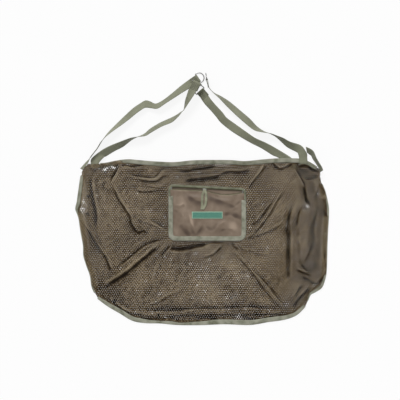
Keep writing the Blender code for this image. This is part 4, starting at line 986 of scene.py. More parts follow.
def make_nets():
    x, y = lattice()
    loop = MOUTH[:-1] + RIGHT[:-1] + list(reversed(BOTTOM))[:-1] + list(reversed(LEFT))[:-1]
    edge_gap = off_outline(x, y, loop)
    slope_y, slope_x = np.gradient(edge_gap, y[:, 0], x[0])
    steep = np.maximum(np.hypot(slope_x, slope_y), 1e-6)
    inwards = np.stack([slope_x / steep, slope_y / steep, np.zeros_like(x)], -1)
    slot = blur(tops_of("front_panel", x, y), 2.4) - 0.0004
    free = smoothstep((edge_gap - 0.004) / 0.016)
    corners = spots(x, y, [(95, 163, 8, 6, 1.0), (304, 162, 7, 6, 1.0)])
    loose = free * (1 - over_pocket(x, y, 0.012)) * (1 - corners)
    relief, shade = pleated(x, y, NET_PLEATS)
    fine = (0.3 - np.abs(rumples(x, y, 0.060, 1.6, 0.6, 5))) * 0.0026
    fine += ((0.3 - np.abs(rumples(x, y, 0.036, 1.8, 2.3, 17))) * 0.0012
             + rumples(x, y, 0.110, 1.5, 1.9, 8) * 0.0012)
    z = np.maximum(slot + (relief + fine) * loose, BACK_NET_Z + 0.0012)
    under = over_pocket(x, y, 0.004) > 0.5
    z = np.where(under, np.minimum(z, POCKET_Z - 0.0003), z)
    mouth_gap = off_line(x, y, MOUTH)[0]
    near_side = (1 - smoothstep((edge_gap - 0.014) / 0.012)) * smoothstep((-mouth_gap - 0.030) / 0.010)
    low_edge = smoothstep((-0.285 - y) / 0.020)
    rolled = near_side * (1 - shown_tape(x, y)) * (1 - low_edge)
    z = np.maximum(z, z + (np.maximum(z, 0.0056) - z) * smoothstep(rolled * 2))
    left_roll = spots(x, y, [(104, 163.5, 7, 2.6, 1.0), (114, 162, 7, 2.6, 1.0)])
    z = z + 0.0042 * smoothstep(left_roll * 1.6) * (1 - smoothstep((edge_gap - 0.012) / 0.008))
    sewn_in = spots(x, y, [(95.5, 166.2, 7, 3.9, 1.0), (303.8, 166.6, 7, 3.9, 1.0)])
    z = np.maximum(z, 0.0122 * smoothstep(sewn_in * 2.2 - 0.5))
    # Broad patches of painted shade and painted highlight.
    broad_shading = add_shading_patches(x, y, NET_SHADING_PATCHES, np.zeros_like(x))
    # Painted shade where the net lies lower than its surroundings, painted highlight where it lies higher.
    cavity_shading = np.clip((blur(z, 4.5) - z) / 0.0016, -1, 1)
    # Painted highlight along the rolled net at the sides, strongest at its rim.
    rim = rolled * (1 - smoothstep((edge_gap - 0.0015) / 0.005))
    # 1 where the front net lies low: there its holes open a little and the back net's painted shade deepens.
    close = 1 - smoothstep((z - 0.0045) / 0.0075)
    # Painted shading of the front net: shade above 0 from pleat lines, cavities and dark patches, painted
    # highlight below 0 from crests, the rolled edge and pale patches.
    hollow = np.clip(shade + 0.32 * cavity_shading + 0.6 * broad_shading - 0.22 * rolled - 0.5 * rim, -0.9, 0.95)
    uneven = patchwork(x, 4, 3)
    slack = spots(x, y, BRIGHT_SPOTS) * uneven ** 2 * 2.2
    glints = np.where(uneven > 0.991, 0.20, 0.0)
    opened = slack * 0.20 - 0.36 * smoothstep(shade * 1.6 - 0.3) + glints * 0.6 + 0.10 * close
    carried = {"edge_gap": edge_gap, "hollow": hollow, "slack": opened}
    front = knit_net("front_net", x, y, z, carried, inwards, True, 0.45, 0.0)
    back_z = BACK_NET_Z + np.maximum(rumples(x, y, 0.050, 1.5, 2.4, 11), 0) * 0.0016 * free * (1 - corners)
    # The back net is a shaded copy of the yarn: painted shade throughout, deeper where the front net lies
    # close above, less where the net is pulled open.
    dull = {"edge_gap": edge_gap, "hollow": 0.66 + 0.32 * close - 0.6 * np.clip(slack, 0, 1),
            "slack": slack * 0.36 + glints * 1.4}
    back = knit_net("back_net", x, y, back_z, dull, inwards, False, 0.19, 3.7)
    for net, node in ((front, "front_panel"), (back, "back_panel")):
        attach(net, "bag")
        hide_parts(node)
    return x, y, slot, front, back


# Tapes folded over the edges

def side_of(path, side):
    """Unit directions in the plane, to the left of the path for side 1."""
    values = np.array([(p.x, p.y) for p in path])
    run = np.gradient(values, axis=0)
    run /= np.linalg.norm(run, axis=1)[:, None]
    return np.stack([-run[:, 1], run[:, 0]], 1) * side


def folded_tape(name, path, inwards, low, tall, top_width, back_width, finish=TAPE):
    """A tape folded over an edge. path is its outer face, low its underside, widths its two leaves."""
    low, top_width, back_width = (np.broadcast_to(v, len(path)) for v in (low, top_width, back_width))
    half = TAPE_THICK / 2
    bend = tall / 2 - half
    sections, weave = [], []
    reach = reach_along([Vector(p) for p in path])
    for i, point in enumerate(path):
        wide, deep = top_width[i], back_width[i]
        fold = [(half + bend - math.cos(a) * bend, math.sin(a) * bend)
                for a in np.linspace(math.pi / 2, -math.pi / 2, 9)]
        line = [(wide, bend - 0.0002), (wide * 0.75, bend), (wide * 0.5, bend + 0.0001),
                (wide * 0.25, bend)]
        line = [p for p in line if p[0] > half + bend + 0.0002] + fold
        while len(line) < 13:
            line.insert(0, (line[0][0] + 0.0001, line[0][1]))
        back = [(deep * 0.5, -bend), (deep, -bend)]
        back = [(max(s, half + bend + 0.0003 * (k + 1)), h) for k, (s, h) in enumerate(back)]
        line = np.array(line + back)
        run = np.gradient(line, axis=0)
        run /= np.maximum(np.linalg.norm(run, axis=1), 1e-9)[:, None]
        out = np.stack([-run[:, 1], run[:, 0]], 1) * half
        ring = np.concatenate([line + out, (line - out)[::-1]])
        middle, inward = low[i] + tall / 2, inwards[i]
        sections.append([(point[0] + inward[0] * s, point[1] + inward[1] * s, middle + h) for s, h in ring])
        across = np.concatenate([[0], np.cumsum(np.linalg.norm(np.diff(line, axis=0), axis=1))])
        both = np.concatenate([across, across[::-1], across[:1]])
        weave.append([(reach[i], value) for value in both])
    return outward(skin(name, sections, finish, uv=weave))


def seam_row(path, inwards, off, height, shown=None):
    """Chain of points for a row of stitches beside an edge, or beside the points shown of it."""
    shown = np.arange(len(path)) if shown is None else shown
    offs, heights = (np.broadcast_to(v, len(path))[shown] for v in (off, height))
    return [(Vector((path[k][0] + n[0] * o, path[k][1] + n[1] * o, h)), (0, 0, 1))
            for k, n, o, h in zip(shown, inwards[shown], offs, heights)]


def value_at(x, y, z, points):
    """Heights of the lattice under some points."""
    xs, ys = x[0], y[:, 0]
    found = []
    for p in points:
        i = int(np.clip((p[0] - xs[0]) / (xs[1] - xs[0]), 0, len(xs) - 2))
        j = int(np.clip((p[1] - ys[0]) / (ys[1] - ys[0]), 0, len(ys) - 2))
        u, v = (p[0] - xs[i]) / (xs[1] - xs[0]), (p[1] - ys[j]) / (ys[1] - ys[0])
        found.append(z[j, i] * (1 - u) * (1 - v) + z[j, i + 1] * u * (1 - v)
                     + z[j + 1, i] * (1 - u) * v + z[j + 1, i + 1] * u * v)
    return np.array(found)


def eased(values, table):
    """Widths along a path from (place, width) pairs, in steps of the drawing and millimetres."""
    places, widths = zip(*table)
    return np.interp(values, places, widths) / 1000


# How wide each tape lies on the net: place in steps of the drawing, width in mm
BOTTOM_WIDTHS = [(95, 7), (104, 11), (115, 13), (140, 13.5), (150, 10.5), (160, 7.5), (171, 10.5), (180, 7),
                 (190, 9.5), (203, 12), (215, 15), (240, 15.5), (262, 14.5), (280, 14), (296, 11), (306, 9)]
LEFT_WIDTHS = [(170, 3), (178, 9), (190, 11), (204, 11), (211, 6), (216, 2.8), (285, 2.8), (297, 7)]
RIGHT_WIDTHS = [(180, 2.8), (196, 3), (202, 5.5), (214, 5.5), (222, 2.8), (266, 3), (276, 5.5), (284, 7.5),
                (290, 8.5), (294, 7.5), (297, 4.4), (301, 2.8)]
MOUTH_WIDTHS = [(97, 4), (106, 4.5), (118, 8), (126, 12.5), (150, 13.5), (200, 13), (255, 13), (300, 13.5),
                (316, 11), (321, 9)]


def make_bag_tapes(x, y, z):
    inward = side_of(BOTTOM, 1)
    wide = eased(np.array([drawing_x(p.x) for p in BOTTOM]), BOTTOM_WIDTHS)
    bottom = folded_tape("bottom_tape", BOTTOM, inward, 0.0, SEAM_TALL, wide, BOTTOM_LEAF)
    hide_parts("bottom_seam_binding")
    chains = [seam_row(BOTTOM, inward, wide - STITCH_INSET, SEAM_TALL)]
    pieces = [bottom]
    for name, path, side, node, table in (
            ("left_tape", LEFT, 1, "left_seam_binding", LEFT_WIDTHS),
            ("right_tape", RIGHT, -1, "right_seam_binding", RIGHT_WIDTHS)):
        reach = reach_along(path)
        kept = [k for k, way in enumerate(reach) if SIDE_TAPE_TOP <= way <= reach[-1] - SIDE_TAPE_FOOT]
        path, inward = [path[k] for k in kept], side_of(path, side)[kept]
        wide = eased(np.array([drawing_y(p.y) for p in path]), table)
        tape = folded_tape(name, path, inward, 0.0, SEAM_TALL, wide, SIDE_LEAF)
        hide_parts(node)
        pieces.append(tape)
        chains.append(seam_row(path, inward, wide - 0.0020, SEAM_TALL, np.flatnonzero(wide > 0.0050)))
    kept = slice(13, -5)
    path, inward = MOUTH[kept], side_of(MOUTH, -1)[kept]
    level = value_at(x, y, z, [p.to_2d() + Vector(n) * 0.0020 for p, n in zip(path, inward)])
    level = np.convolve(np.pad(level, 4, mode="edge"), np.ones(9) / 9, "valid")
    low = level - 0.0004 - 0.0013
    wide = eased(np.array([drawing_x(p.x) for p in path]), MOUTH_WIDTHS)
    front = folded_tape("front_mouth_tape", path, inward, low, MOUTH_TALL, wide, LEAF)
    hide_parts("front_mouth_binding")
    top, shown = low + MOUTH_TALL + 0.0001, np.flatnonzero(wide > 0.0080)
    chains += [seam_row(path, inward, off, top, shown) for off in (wide - STITCH_INSET, 0.0028)]
    back = folded_tape("back_mouth_tape", path, inward, 0.0, MOUTH_TALL, LEAF, LEAF)
    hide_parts("back_mouth_binding")
    stitches = beads("tape_stitches", chains, 0.0042, (0.0030, 0.0007, 0.0005), PALE_THREAD)
    for piece in pieces + [front, back, stitches]:
        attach(piece, "bag")


# Webbing legs with their anchors. Each row: one edge of the strap (x, y, z), then the other, in mm

LOOP_REACH, LOOP_TAIL = 0.0120, 0.0240
RING_WIRE, RING_WIDE, RING_DEEP = 0.0030, 0.0270, 0.0175
RING_CORNER, WIRE_SIDES = 0.0022, 16

LOWER_LEFT = [
    (-329.5, 91.7, 10.0, -304.9, 91.7, 10.0), (-335.0, 110.2, 10.0, -310.0, 106.0, 10.0),
    (-329.0, 124.1, 10.0, -295.0, 124.1, 10.0), (-300.8, 145.4, 15.5, -288.7, 127.7, 3.0),
    (-276.8, 158.3, 17.5, -264.8, 142.4, 2.0), (-246.7, 170.3, 20.0, -237.7, 156.5, 1.5),
    (-216.7, 180.8, 25.5, -213.8, 175.1, 1.5), (-197.5, 184.4, 26.5, -197.0, 184.7, 1.5),
    (-169.9, 187.7, 25.0, -174.2, 195.8, 1.5), (-150.7, 199.1, 22.5, -156.7, 210.9, 1.5),
    (-120.8, 216.0, 21.8, -126.8, 228.9, 1.5), (-90.7, 228.6, 21.2, -96.8, 242.4, 1.5),
    (-71.5, 245.4, 24.5, -78.2, 252.0, 2.0), (-62.0, 257.4, 26.5, -65.5, 260.4, 2.5),
    (-53.5, 266.4, 29.0, -56.0, 267.3, 4.5), (-40.3, 285.9, 32.0, -51.8, 292.6, 11.5),
    (-29.0, 302.5, 35.0, -46.0, 310.9, 19.5), (-18.2, 318.7, 34.0, -39.7, 328.6, 27.0),
    (-10.0, 330.4, 30.5, -32.2, 341.5, 30.5),
]
UPPER_LEFT = [
    (-366.8, 91.0, 1.3, -359.5, 86.8, 9.6), (-349.9, 110.2, 1.3, -343.0, 107.5, 9.6),
    (-335.0, 124.7, 1.0, -334.3, 124.4, 25.8), (-324.1, 139.1, 1.0, -323.5, 138.8, 26.0),
    (-315.1, 150.5, 1.0, -314.6, 150.2, 26.0), (-304.0, 169.1, 1.0, -303.4, 168.8, 26.0),
    (-293.0, 186.8, 1.0, -289.9, 183.5, 25.5), (-276.8, 206.4, 1.0, -270.8, 199.1, 24.2),
    (-246.7, 236.4, 1.0, -238.4, 222.6, 20.0), (-228.7, 253.5, 1.0, -216.7, 239.4, 17.5),
    (-207.8, 272.7, 1.0, -195.7, 256.8, 15.5), (-186.8, 286.8, 1.0, -175.3, 270.6, 15.5),
    (-171.2, 295.6, 1.3, -165.8, 273.0, 11.5), (-156.7, 292.9, 1.3, -151.9, 271.2, 12.5),
    (-140.0, 286.2, 1.3, -133.3, 270.0, 18.0), (-117.8, 296.8, 1.3, -108.7, 285.6, 21.0),
    (-90.7, 317.5, 1.5, -80.0, 304.3, 19.0), (-66.7, 337.6, 3.0, -54.2, 321.1, 15.5),
    (-45.2, 353.8, 5.0, -31.3, 334.9, 11.0), (-29.8, 364.6, 6.0, -15.8, 343.9, 6.0),
]
LOWER_RIGHT = [
    (285.7, 89.2, 4.5, 260.8, 89.2, 4.5), (283.1, 104.2, 4.5, 258.4, 104.2, 4.5),
    (266.2, 124.1, 4.5, 226.7, 124.1, 4.5), (224.2, 149.6, 10.5, 210.7, 131.3, 1.5),
    (191.3, 167.3, 15.5, 179.2, 151.1, 1.3), (158.2, 182.3, 17.0, 146.2, 167.9, 1.3),
    (128.2, 203.3, 12.5, 114.8, 185.9, 1.3), (98.2, 225.0, 8.5, 84.2, 205.8, 1.3),
    (73.0, 243.0, 13.0, 56.2, 228.6, 1.3), (61.0, 258.6, 12.5, 43.6, 244.2, 1.3),
    (44.2, 276.6, 13.5, 27.5, 263.4, 1.5), (25.0, 299.5, 10.0, 7.0, 285.6, 2.5),
    (11.9, 321.7, 6.0, -6.8, 305.5, 6.0),
]
UPPER_RIGHT = [
    (316.7, 95.2, 10.0, 291.7, 95.2, 10.0), (316.1, 107.2, 10.0, 291.2, 107.2, 10.0),
    (314.8, 124.1, 10.0, 289.9, 124.1, 10.0), (313.1, 137.3, 12.5, 287.2, 134.9, 10.5),
    (295.7, 159.5, 16.5, 282.4, 140.3, 7.5), (263.2, 170.3, 21.5, 255.7, 154.7, 3.0),
    (242.2, 181.4, 24.5, 236.2, 172.4, 1.5), (223.6, 188.3, 26.0, 221.2, 185.6, 1.3),
    (204.7, 194.9, 26.3, 204.4, 195.2, 1.3), (182.2, 198.2, 25.5, 184.1, 204.3, 1.3),
    (156.5, 204.6, 20.0, 164.2, 218.4, 1.3), (130.0, 224.7, 15.0, 143.3, 240.6, 1.3),
    (99.5, 251.7, 15.0, 113.2, 266.4, 1.3), (71.2, 279.0, 18.0, 83.2, 291.3, 1.3),
    (50.2, 300.7, 24.0, 57.5, 307.9, 1.5), (34.7, 314.5, 26.3, 37.7, 317.5, 2.0),
    (23.8, 327.1, 28.0, 24.8, 327.7, 3.3), (19.0, 336.1, 29.2, 19.7, 336.1, 4.2),
    (17.5, 345.1, 29.5, 17.8, 345.1, 4.5),
]
CORNER_TAIL = [
    (309.5, 155.6, 21.5, 314.4, 138.6, 7.5), (322.1, 149.6, 24.0, 320.8, 133.7, 6.0),
    (332.3, 141.1, 26.5, 327.6, 128.6, 5.5), (340.2, 123.3, 26.5, 332.2, 119.0, 4.5),
    (349.0, 108.0, 25.0, 343.6, 102.5, 4.0), (358.0, 93.5, 23.5, 351.5, 89.0, 4.2),
    (361.0, 85.0, 22.0, 355.0, 80.0, 4.2),
]


def strap_edges(table):
    rows = np.array(table) / 1000
    return list(zip(smooth_line(rows[:, :3], 7), smooth_line(rows[:, 3:], 7)))


def loop_round_bar(edges):
    """Carries a leg's end round its ring's bar and back as a sewn tail."""
    first, second = edges[-1]
    before = (edges[-4][0] + edges[-4][1]) / 2
    width = (second - first).normalized()
    along = (first + second) / 2 - before
    along.z = 0
    along = (along - width * along.dot(width)).normalized()
    face = width.cross(along)
    if face.z < 0:
        face = -face
    radius = RING_WIRE / 2 + 0.0003 + WEB_THICK / 2
    bar = (first + second) / 2 + along * LOOP_REACH - face * radius
    places = [(radius * math.cos(a), radius * math.sin(a))
              for a in np.linspace(math.pi / 2, -math.pi / 2, 15)]
    sewn = radius - WEB_THICK - 0.0003
    places += [(-LOOP_REACH / 2, (sewn - radius) / 2), (-LOOP_REACH, sewn), (-LOOP_TAIL, sewn)]
    half = width * (WEB_WIDE / 2)
    middles = [bar + along * out + face * up for out, up in places]
    loop = [(middle - half, middle + half) for middle in middles]
    return edges + loop, bar, along, face, width


def band(edges):
    """A strap's two edges, the way that it faces and the distance along it, at each section."""
    a, b = (np.array([tuple(edge[k]) for edge in edges]) for k in (0, 1))
    middle = (a + b) / 2
    face = np.cross(b - a, np.gradient(middle, axis=0))
    face /= np.maximum(np.linalg.norm(face, axis=1), 1e-12)[:, None]
    return a, b, face, reach_along([Vector(p) for p in middle])


def strap(name, edges, thick, finish, columns=9, wide=WEB_WIDE):
    """A woven band between two edge lines, thinner and rounded at its selvedges."""
    a, b, face, reach = band(edges)
    share = np.linspace(0, 1, columns)
    half = thick / 2 * (1 - 0.55 * np.abs(share * 2 - 1) ** 6)
    flat = a[:, None, :] + (b - a)[:, None, :] * share[None, :, None]
    out = face[:, None, :] * half[None, :, None]
    rings = np.concatenate([flat + out, (flat - out)[:, ::-1]], axis=1)
    across = share * wide
    both = np.concatenate([across, across[::-1], across[:1]])
    weave = [[(r, value) for value in both] for r in reach]
    return outward(skin(name, rings, finish, uv=weave))


def tack_rows(edges, start, end, rows_apart):
    """Chains across a strap's upper face, for a dense patch of stitches."""
    a, b, face, reach = band(edges)
    if face[:, 2].mean() < 0:
        face = -face
    chains = []
    for want in np.arange(start, end, rows_apart):
        row = []
        for share in np.linspace(0.09, 0.91, 7):
            point = [np.interp(want, reach, a[:, k] * (1 - share) + b[:, k] * share) for k in range(3)]
            up = Vector([np.interp(want, reach, face[:, k]) for k in range(3)])
            row.append((Vector(point) + up * (WEB_THICK / 2 + 0.00005), up))
        chains.append(row)
    return chains


def d_ring(name, bar, width, out, finish):
    """A D of round wire: straight bar along width through bar, its bow towards out."""
    half = (RING_WIDE + RING_WIRE) / 2
    shoulder = RING_DEEP + RING_WIRE - half - RING_WIRE / 2
    corner, quarter = RING_CORNER, np.linspace(0, math.pi / 2, 6)
    path = [(-half + corner, 0.0), (0.0, 0.0), (half - corner, 0.0)]
    path += [(half - corner + corner * math.sin(a), corner * (1 - math.cos(a))) for a in quarter[1:]]
    path += [(half * math.cos(a), max(shoulder, corner) + half * math.sin(a))
             for a in np.linspace(0, math.pi, 41)[1:]]
    path += [(-half + corner - corner * math.cos(a), corner * (1 - math.sin(a))) for a in quarter[:-1]]
    up = width.cross(out)
    points = np.array(path)
    run = np.roll(points, -1, 0) - np.roll(points, 1, 0)
    run /= np.linalg.norm(run, axis=1)[:, None]
    rings = []
    for (u, v), (ru, rv) in zip(points, run):
        ring = []
        for k in range(WIRE_SIDES):
            a = 2 * math.pi * k / WIRE_SIDES
            side, tall = math.cos(a) * RING_WIRE / 2, math.sin(a) * RING_WIRE / 2
            ring.append(tuple(bar + width * (u - rv * side) + out * (v + ru * side) + up * tall))
        rings.append(ring)
    vertices = [p for ring in rings for p in ring]
    faces = []
    for i in range(len(rings)):
        here, there = i * WIRE_SIDES, (i + 1) % len(rings) * WIRE_SIDES
        for k in range(WIRE_SIDES):
            n = (k + 1) % WIRE_SIDES
            faces.append((here + k, here + n, there + n, there + k))
    return outward(new_object(name, vertices, faces, finish))


def make_harness():
    tacks = {"front_straps": [], "back_straps": [], "bag": []}
    for name, table, leg, anchor, ring, body, hangs in (
            ("lower_left_strap", LOWER_LEFT, "leg_lower_left", "front_anchor_left", "ring_lower_left",
             "front_straps", True),
            ("upper_left_strap", UPPER_LEFT, "leg_upper_left", "back_anchor_left", "ring_upper_left",
             "back_straps", False),
            ("lower_right_strap", LOWER_RIGHT, "leg_lower_right", "back_anchor_right", "ring_lower_right",
             "back_straps", False),
            ("upper_right_strap", UPPER_RIGHT, "leg_upper_right", "front_anchor_right", "ring_upper_right",
             "front_straps", False)):
        edges = strap_edges(table)
        whole, bar, along, face, width = loop_round_bar(edges)
        made = strap(name, whole, WEB_THICK, STRAP)
        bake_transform(made)
        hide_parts(leg, anchor)
        free = reach_along([(a + b) / 2 for a, b in edges])
        tacks[body] += tack_rows(whole, free[-1] - 0.0125, free[-1] + 0.0085, 0.0021)
        out = -face if hangs else along
        wire = d_ring(ring + "_wire", bar, width, out, CHROME)
        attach(wire, ring)
        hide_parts(ring)
    tail = strap("corner_tail_strap", strap_edges(CORNER_TAIL), WEB_THICK, STRAP)
    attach(tail, "bag")
    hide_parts("corner_arch", "corner_tail")
    for table in (LOWER_LEFT[:2], UPPER_RIGHT[:2]):
        tacks["bag"] += tack_rows(strap_edges(table), 0.0015, 0.0150, 0.0023)
    for body, chains in tacks.items():
        stitches = beads(body + "_tacks", chains, 0.0030, (0.0031, 0.0011, 0.0007), DARK_THREAD,
                         sway=0.12, seed=4)
        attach(stitches, body)


# Pocket, zip, pull and label

def on_pocket(along_it, below):
    return POCKET_CORNER + POCKET_ALONG * along_it + POCKET_ACROSS * below


def zip_bow(along_it):
    """How far the lower row has left the closed line, right of the slider."""
    start, end = SLIDER_PLACE + 0.0060, POCKET_WIDE - 0.0140
    return 0.0085 * math.sin(math.pi * min(max((along_it - start) / (end - start), 0.0), 1.0))


# Creases of the pocket's cloth, written as the net's pleats are
POCKET_PLEATS = [
    (0.8, 2.6, 0.42, 2.6, 1, [(181, 188), (187, 194.4), (193, 199.4), (199, 202), (207, 203)]),
    (0.8, 2.6, 0.4, 2.8, 1, [(205, 194), (214, 198.6), (222, 202.2), (232, 205.4), (240, 210)]),
    (0.7, 2.0, 0.36, 2.6, -1, [(222, 216.6), (230, 214.6), (236, 217), (243, 221)]),
    (0.7, 2.0, 0.3, 1.6, -1, [(219, 232), (226, 229.4), (231, 231), (236, 237)]),
    (0.8, 2.4, 0.3, 2.6, -1, [(178, 224), (184, 231), (191, 238)]),
    (0.9, 2.2, 0.32, 1.8, 1, [(186, 209), (189.6, 222), (195, 233.4), (200, 229), (204, 222)]),
    (0.7, 2.0, 0.22, 1.8, -1, [(203, 224), (212, 230), (220, 221), (228, 218)]),
    (0.6, 1.6, 0.3, 1.2, 1, [(173, 208), (179, 212.6), (183, 218)]),
    (0.6, 1.6, 0.28, 1.2, 1, [(173, 206), (180, 206.4), (185, 204)]),
    (0.7, 1.6, 0.3, 1.2, -1, [(228, 209), (235, 206), (242, 200)]),
    (0.6, 1.4, 0.3, 0.9, 1, [(175, 192.6), (190, 191.8), (201, 191)]),
    (0.6, 1.4, 0.3, 0.9, 1, [(212, 192.8), (226, 193.6), (240, 194.8)]),
]
# Broad painted shade (above 0) and painted highlight (below 0) on the pocket's cloth: (x, y, reach across,
# reach down, amount)
POCKET_SHADING_PATCHES = [
    (183, 202, 6, 14, -0.42), (233, 227, 5, 6, -0.62), (191, 222, 3.4, 10, -0.45),
    (209, 230, 12, 6, 0.16), (186, 233, 8, 5, 0.3), (236, 216.6, 6, 3, 0.3), (226, 190.6, 12, 2.6, -0.22),
    (222, 200, 12, 3.4, 0.26), (193, 198.6, 6, 3.4, 0.22), (222, 222, 9, 3, -0.22),
]


def drawn_in(x, radius):
    """How far a rounded corner draws the pocket's upper or lower edge in."""
    ends = np.minimum(x - POCKET_CORNER.x, POCKET_RIGHT.x - x)
    return radius - np.sqrt(np.maximum(radius ** 2 - np.maximum(radius - ends, 0) ** 2, 0))


def make_pocket():
    left, right = POCKET_CORNER.x + POCKET_INSET, POCKET_RIGHT.x - POCKET_INSET
    low = POCKET_LOW + POCKET_INSET
    u, v = np.meshgrid(np.linspace(0, 1, 97), np.linspace(0, 1, 73))
    x = left + (right - left) * u
    tops = [on_pocket(place, ZIP_DOWN + 0.0051 + zip_bow(place)).y for place in x[0] - POCKET_CORNER.x]
    foot_line = low + drawn_in(x[0], LOW_CORNER)
    y = foot_line + (np.array(tops) - foot_line) * v
    side = smoothstep((np.minimum(u, 1 - u) - 0.070) / 0.20)
    foot = smoothstep((v - 0.105) / 0.20)
    head = smoothstep((v - 0.86) / 0.09)
    free = side * foot * (1 - head)
    relief, shade = pleated(x, y, POCKET_PLEATS)
    relief = relief + rumples(x, y, 0.045, 1.6, 0.9, 21) * 0.0004
    label_place = at(207.2, 215.2)
    off_label = np.maximum(np.abs(x - label_place.x) - 0.040, np.abs(y - label_place.y) - 0.009)
    calm = smoothstep((off_label + 0.004) / 0.016)
    z = POCKET_RIM + (POCKET_HEAD - POCKET_RIM) * head + (0.0045 + relief * (0.15 + 0.85 * calm)) * free
    z = np.maximum(z + 0.0003, POCKET_RIM)
    cloth = skin("pocket_cloth", np.stack([x, y, z], -1), TAFFETA, closed=False)
    # Painted shade along the creases and in dark patches, painted highlight on crests and pale patches.
    carry(cloth.data, "hollow", np.clip(add_shading_patches(x, y, POCKET_SHADING_PATCHES, shade), -1, 1))
    thickened(cloth, CLOTH_THICK)
    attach(cloth, "bag")
    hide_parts("pocket_front")
    u, v = np.meshgrid(np.linspace(0, 1, 41), np.linspace(0, 1, 31))
    x = left + (right - left) * u
    places = zip(x[0] - POCKET_CORNER.x, drawn_in(x[0], TOP_CORNER))
    upper = np.array([on_pocket(place, POCKET_INSET + gone).y for place, gone in places])
    lower = low + drawn_in(x[0], LOW_CORNER)
    y = lower + (upper - lower) * v
    z = 0.0165 + rumples(x, y, 0.040, 1.3, 0.3, 31) * 0.0002
    back = skin("pocket_back_cloth", np.stack([x, y, z], -1), TAFFETA, closed=False)
    thickened(back, CLOTH_THICK)
    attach(back, "bag")
    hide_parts("pocket_back")
    return cloth, back


def rounded(points, radius, steps=7):
    """A line with its corners rounded."""
    points = [Vector(p) for p in points]
    line = [points[0]]
    for before, corner, after in zip(points, points[1:], points[2:]):
        one, two = (before - corner).normalized(), (after - corner).normalized()
        start, end = corner + one * radius, corner + two * radius
        for k in range(steps + 1):
            t = k / steps
            line.append(start * (1 - t) ** 2 + corner * (2 * t * (1 - t)) + end * t ** 2)
    return line + [points[-1]]


def make_pocket_tapes():
    chains, pieces = [], []
    corner, right = POCKET_CORNER, POCKET_RIGHT
    for name, node, head, foot, radius, count, side, tall, leaf, finish, offs in (
            ("pocket_tape", "pocket_binding", 0.0360, POCKET_LOW, LOW_CORNER, 150, 1, 0.0043, LEAF, TAPE,
             (0.0116, 0.0030)),
            ("pocket_top_tape", "pocket_top_binding", 0.0357, None, TOP_CORNER, 110, -1, 0.0067, 0.0058,
             DARKER_TAPE, (0.0042,))):
        turns = [tuple(corner), tuple(right)] if foot is None else [(corner.x, foot), (right.x, foot)]
        ends = (corner.x, corner.y - head), (right.x, right.y - head)
        path = even_line(rounded([ends[0], *turns, ends[1]], radius), count)
        inward = side_of(path, side)
        tape = folded_tape(name, path, inward, POCKET_Z, tall, leaf, leaf, finish)
        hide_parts(node)
        pieces.append(tape)
        chains += [seam_row(path, inward, off, POCKET_Z + tall) for off in offs]
    stitches = beads("pocket_stitches", chains, 0.0040, (0.0029, 0.0007, 0.0005), PALE_THREAD, seed=2)
    for piece in pieces + [stitches]:
        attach(piece, "bag")


def make_zip():
    near, levels = 0.0032, (0.0194, 0.0188)
    for name, side in (("upper", -1), ("lower", 1)):
        lower = side > 0
        offs = np.linspace(near, near + 0.0080 if lower else ZIP_DOWN - 0.0013, 5)
        margin = 0.0025 if lower else 0.0100
        rows, weave = [], []
        for place_on in np.linspace(margin, POCKET_WIDE - margin, 81):
            bow = zip_bow(place_on) if lower else 0.0
            rim = [on_pocket(place_on, ZIP_DOWN + side * off + bow) for off in offs]
            rows.append([(p.x, p.y, levels[0]) for p in rim] + [(p.x, p.y, levels[1]) for p in rim[::-1]])
            weave.append([(place_on, width) for width in (*offs, *offs[::-1], offs[0])])
        tape = outward(skin("zip_tape_" + name + "_cloth", rows, ZIP_TAPE, uv=weave))
        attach(tape, "bag")
        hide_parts("zip_tape_" + name)
        line = []
        for place_on in np.arange(0.0115, POCKET_WIDE - 0.0115, 0.0020):
            bow = zip_bow(place_on) if lower else 0.0
            shift = 0.0010 if lower else 0.0
            point = on_pocket(place_on + shift, ZIP_DOWN + side * 0.0018 + bow)
            line.append(((point.x, point.y, 0.0191), (0, 0, 1)))
        teeth = beads("zip_coil_" + name, [line], 0.0021, (0.0026, 0.0011, 0.0013), TEETH,
                      turn=math.pi / 2, sway=0.02)
        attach(teeth, "bag")
        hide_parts("zip_teeth_" + name)
    for node in ("zip_stop_left", "zip_stop_right"):
        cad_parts[node].data.materials.clear()
        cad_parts[node].data.materials.append(SLIDER_METAL)


def bevelled(made, width, segments=3):
    soft = made.modifiers.new("soft_edges", "BEVEL")
    soft.width = width
    soft.segments = segments
    soft.limit_method = "ANGLE"
    settle(made)
    made.data.polygons.foreach_set("use_smooth", [True] * len(made.data.polygons))
    return made


def between(first, second):
    """A solid between two rings of points, one below the other or side by side."""
    count = len(first)
    faces = [tuple(reversed(range(count))), tuple(range(count, 2 * count))]
    faces += [(k, (k + 1) % count, (k + 1) % count + count, k + count) for k in range(count)]
    return list(first) + list(second), faces


def prism(flat, low, high):
    return between([(x, y, low) for x, y in flat], [(x, y, high) for x, y in flat])


def block(left, right, half_deep, low, high):
    flat = [(left, -half_deep), (right, -half_deep), (right, half_deep), (left, half_deep)]
    return prism(flat, low, high)


def joined_shapes(shapes):
    vertices, faces = [], []
    for more, sides in shapes:
        first = len(vertices)
        vertices += more
        faces += [tuple(first + k for k in side) for side in sides]
    return vertices, faces


BAR_Z = 0.0229              # height of the bar that the ribbon goes round


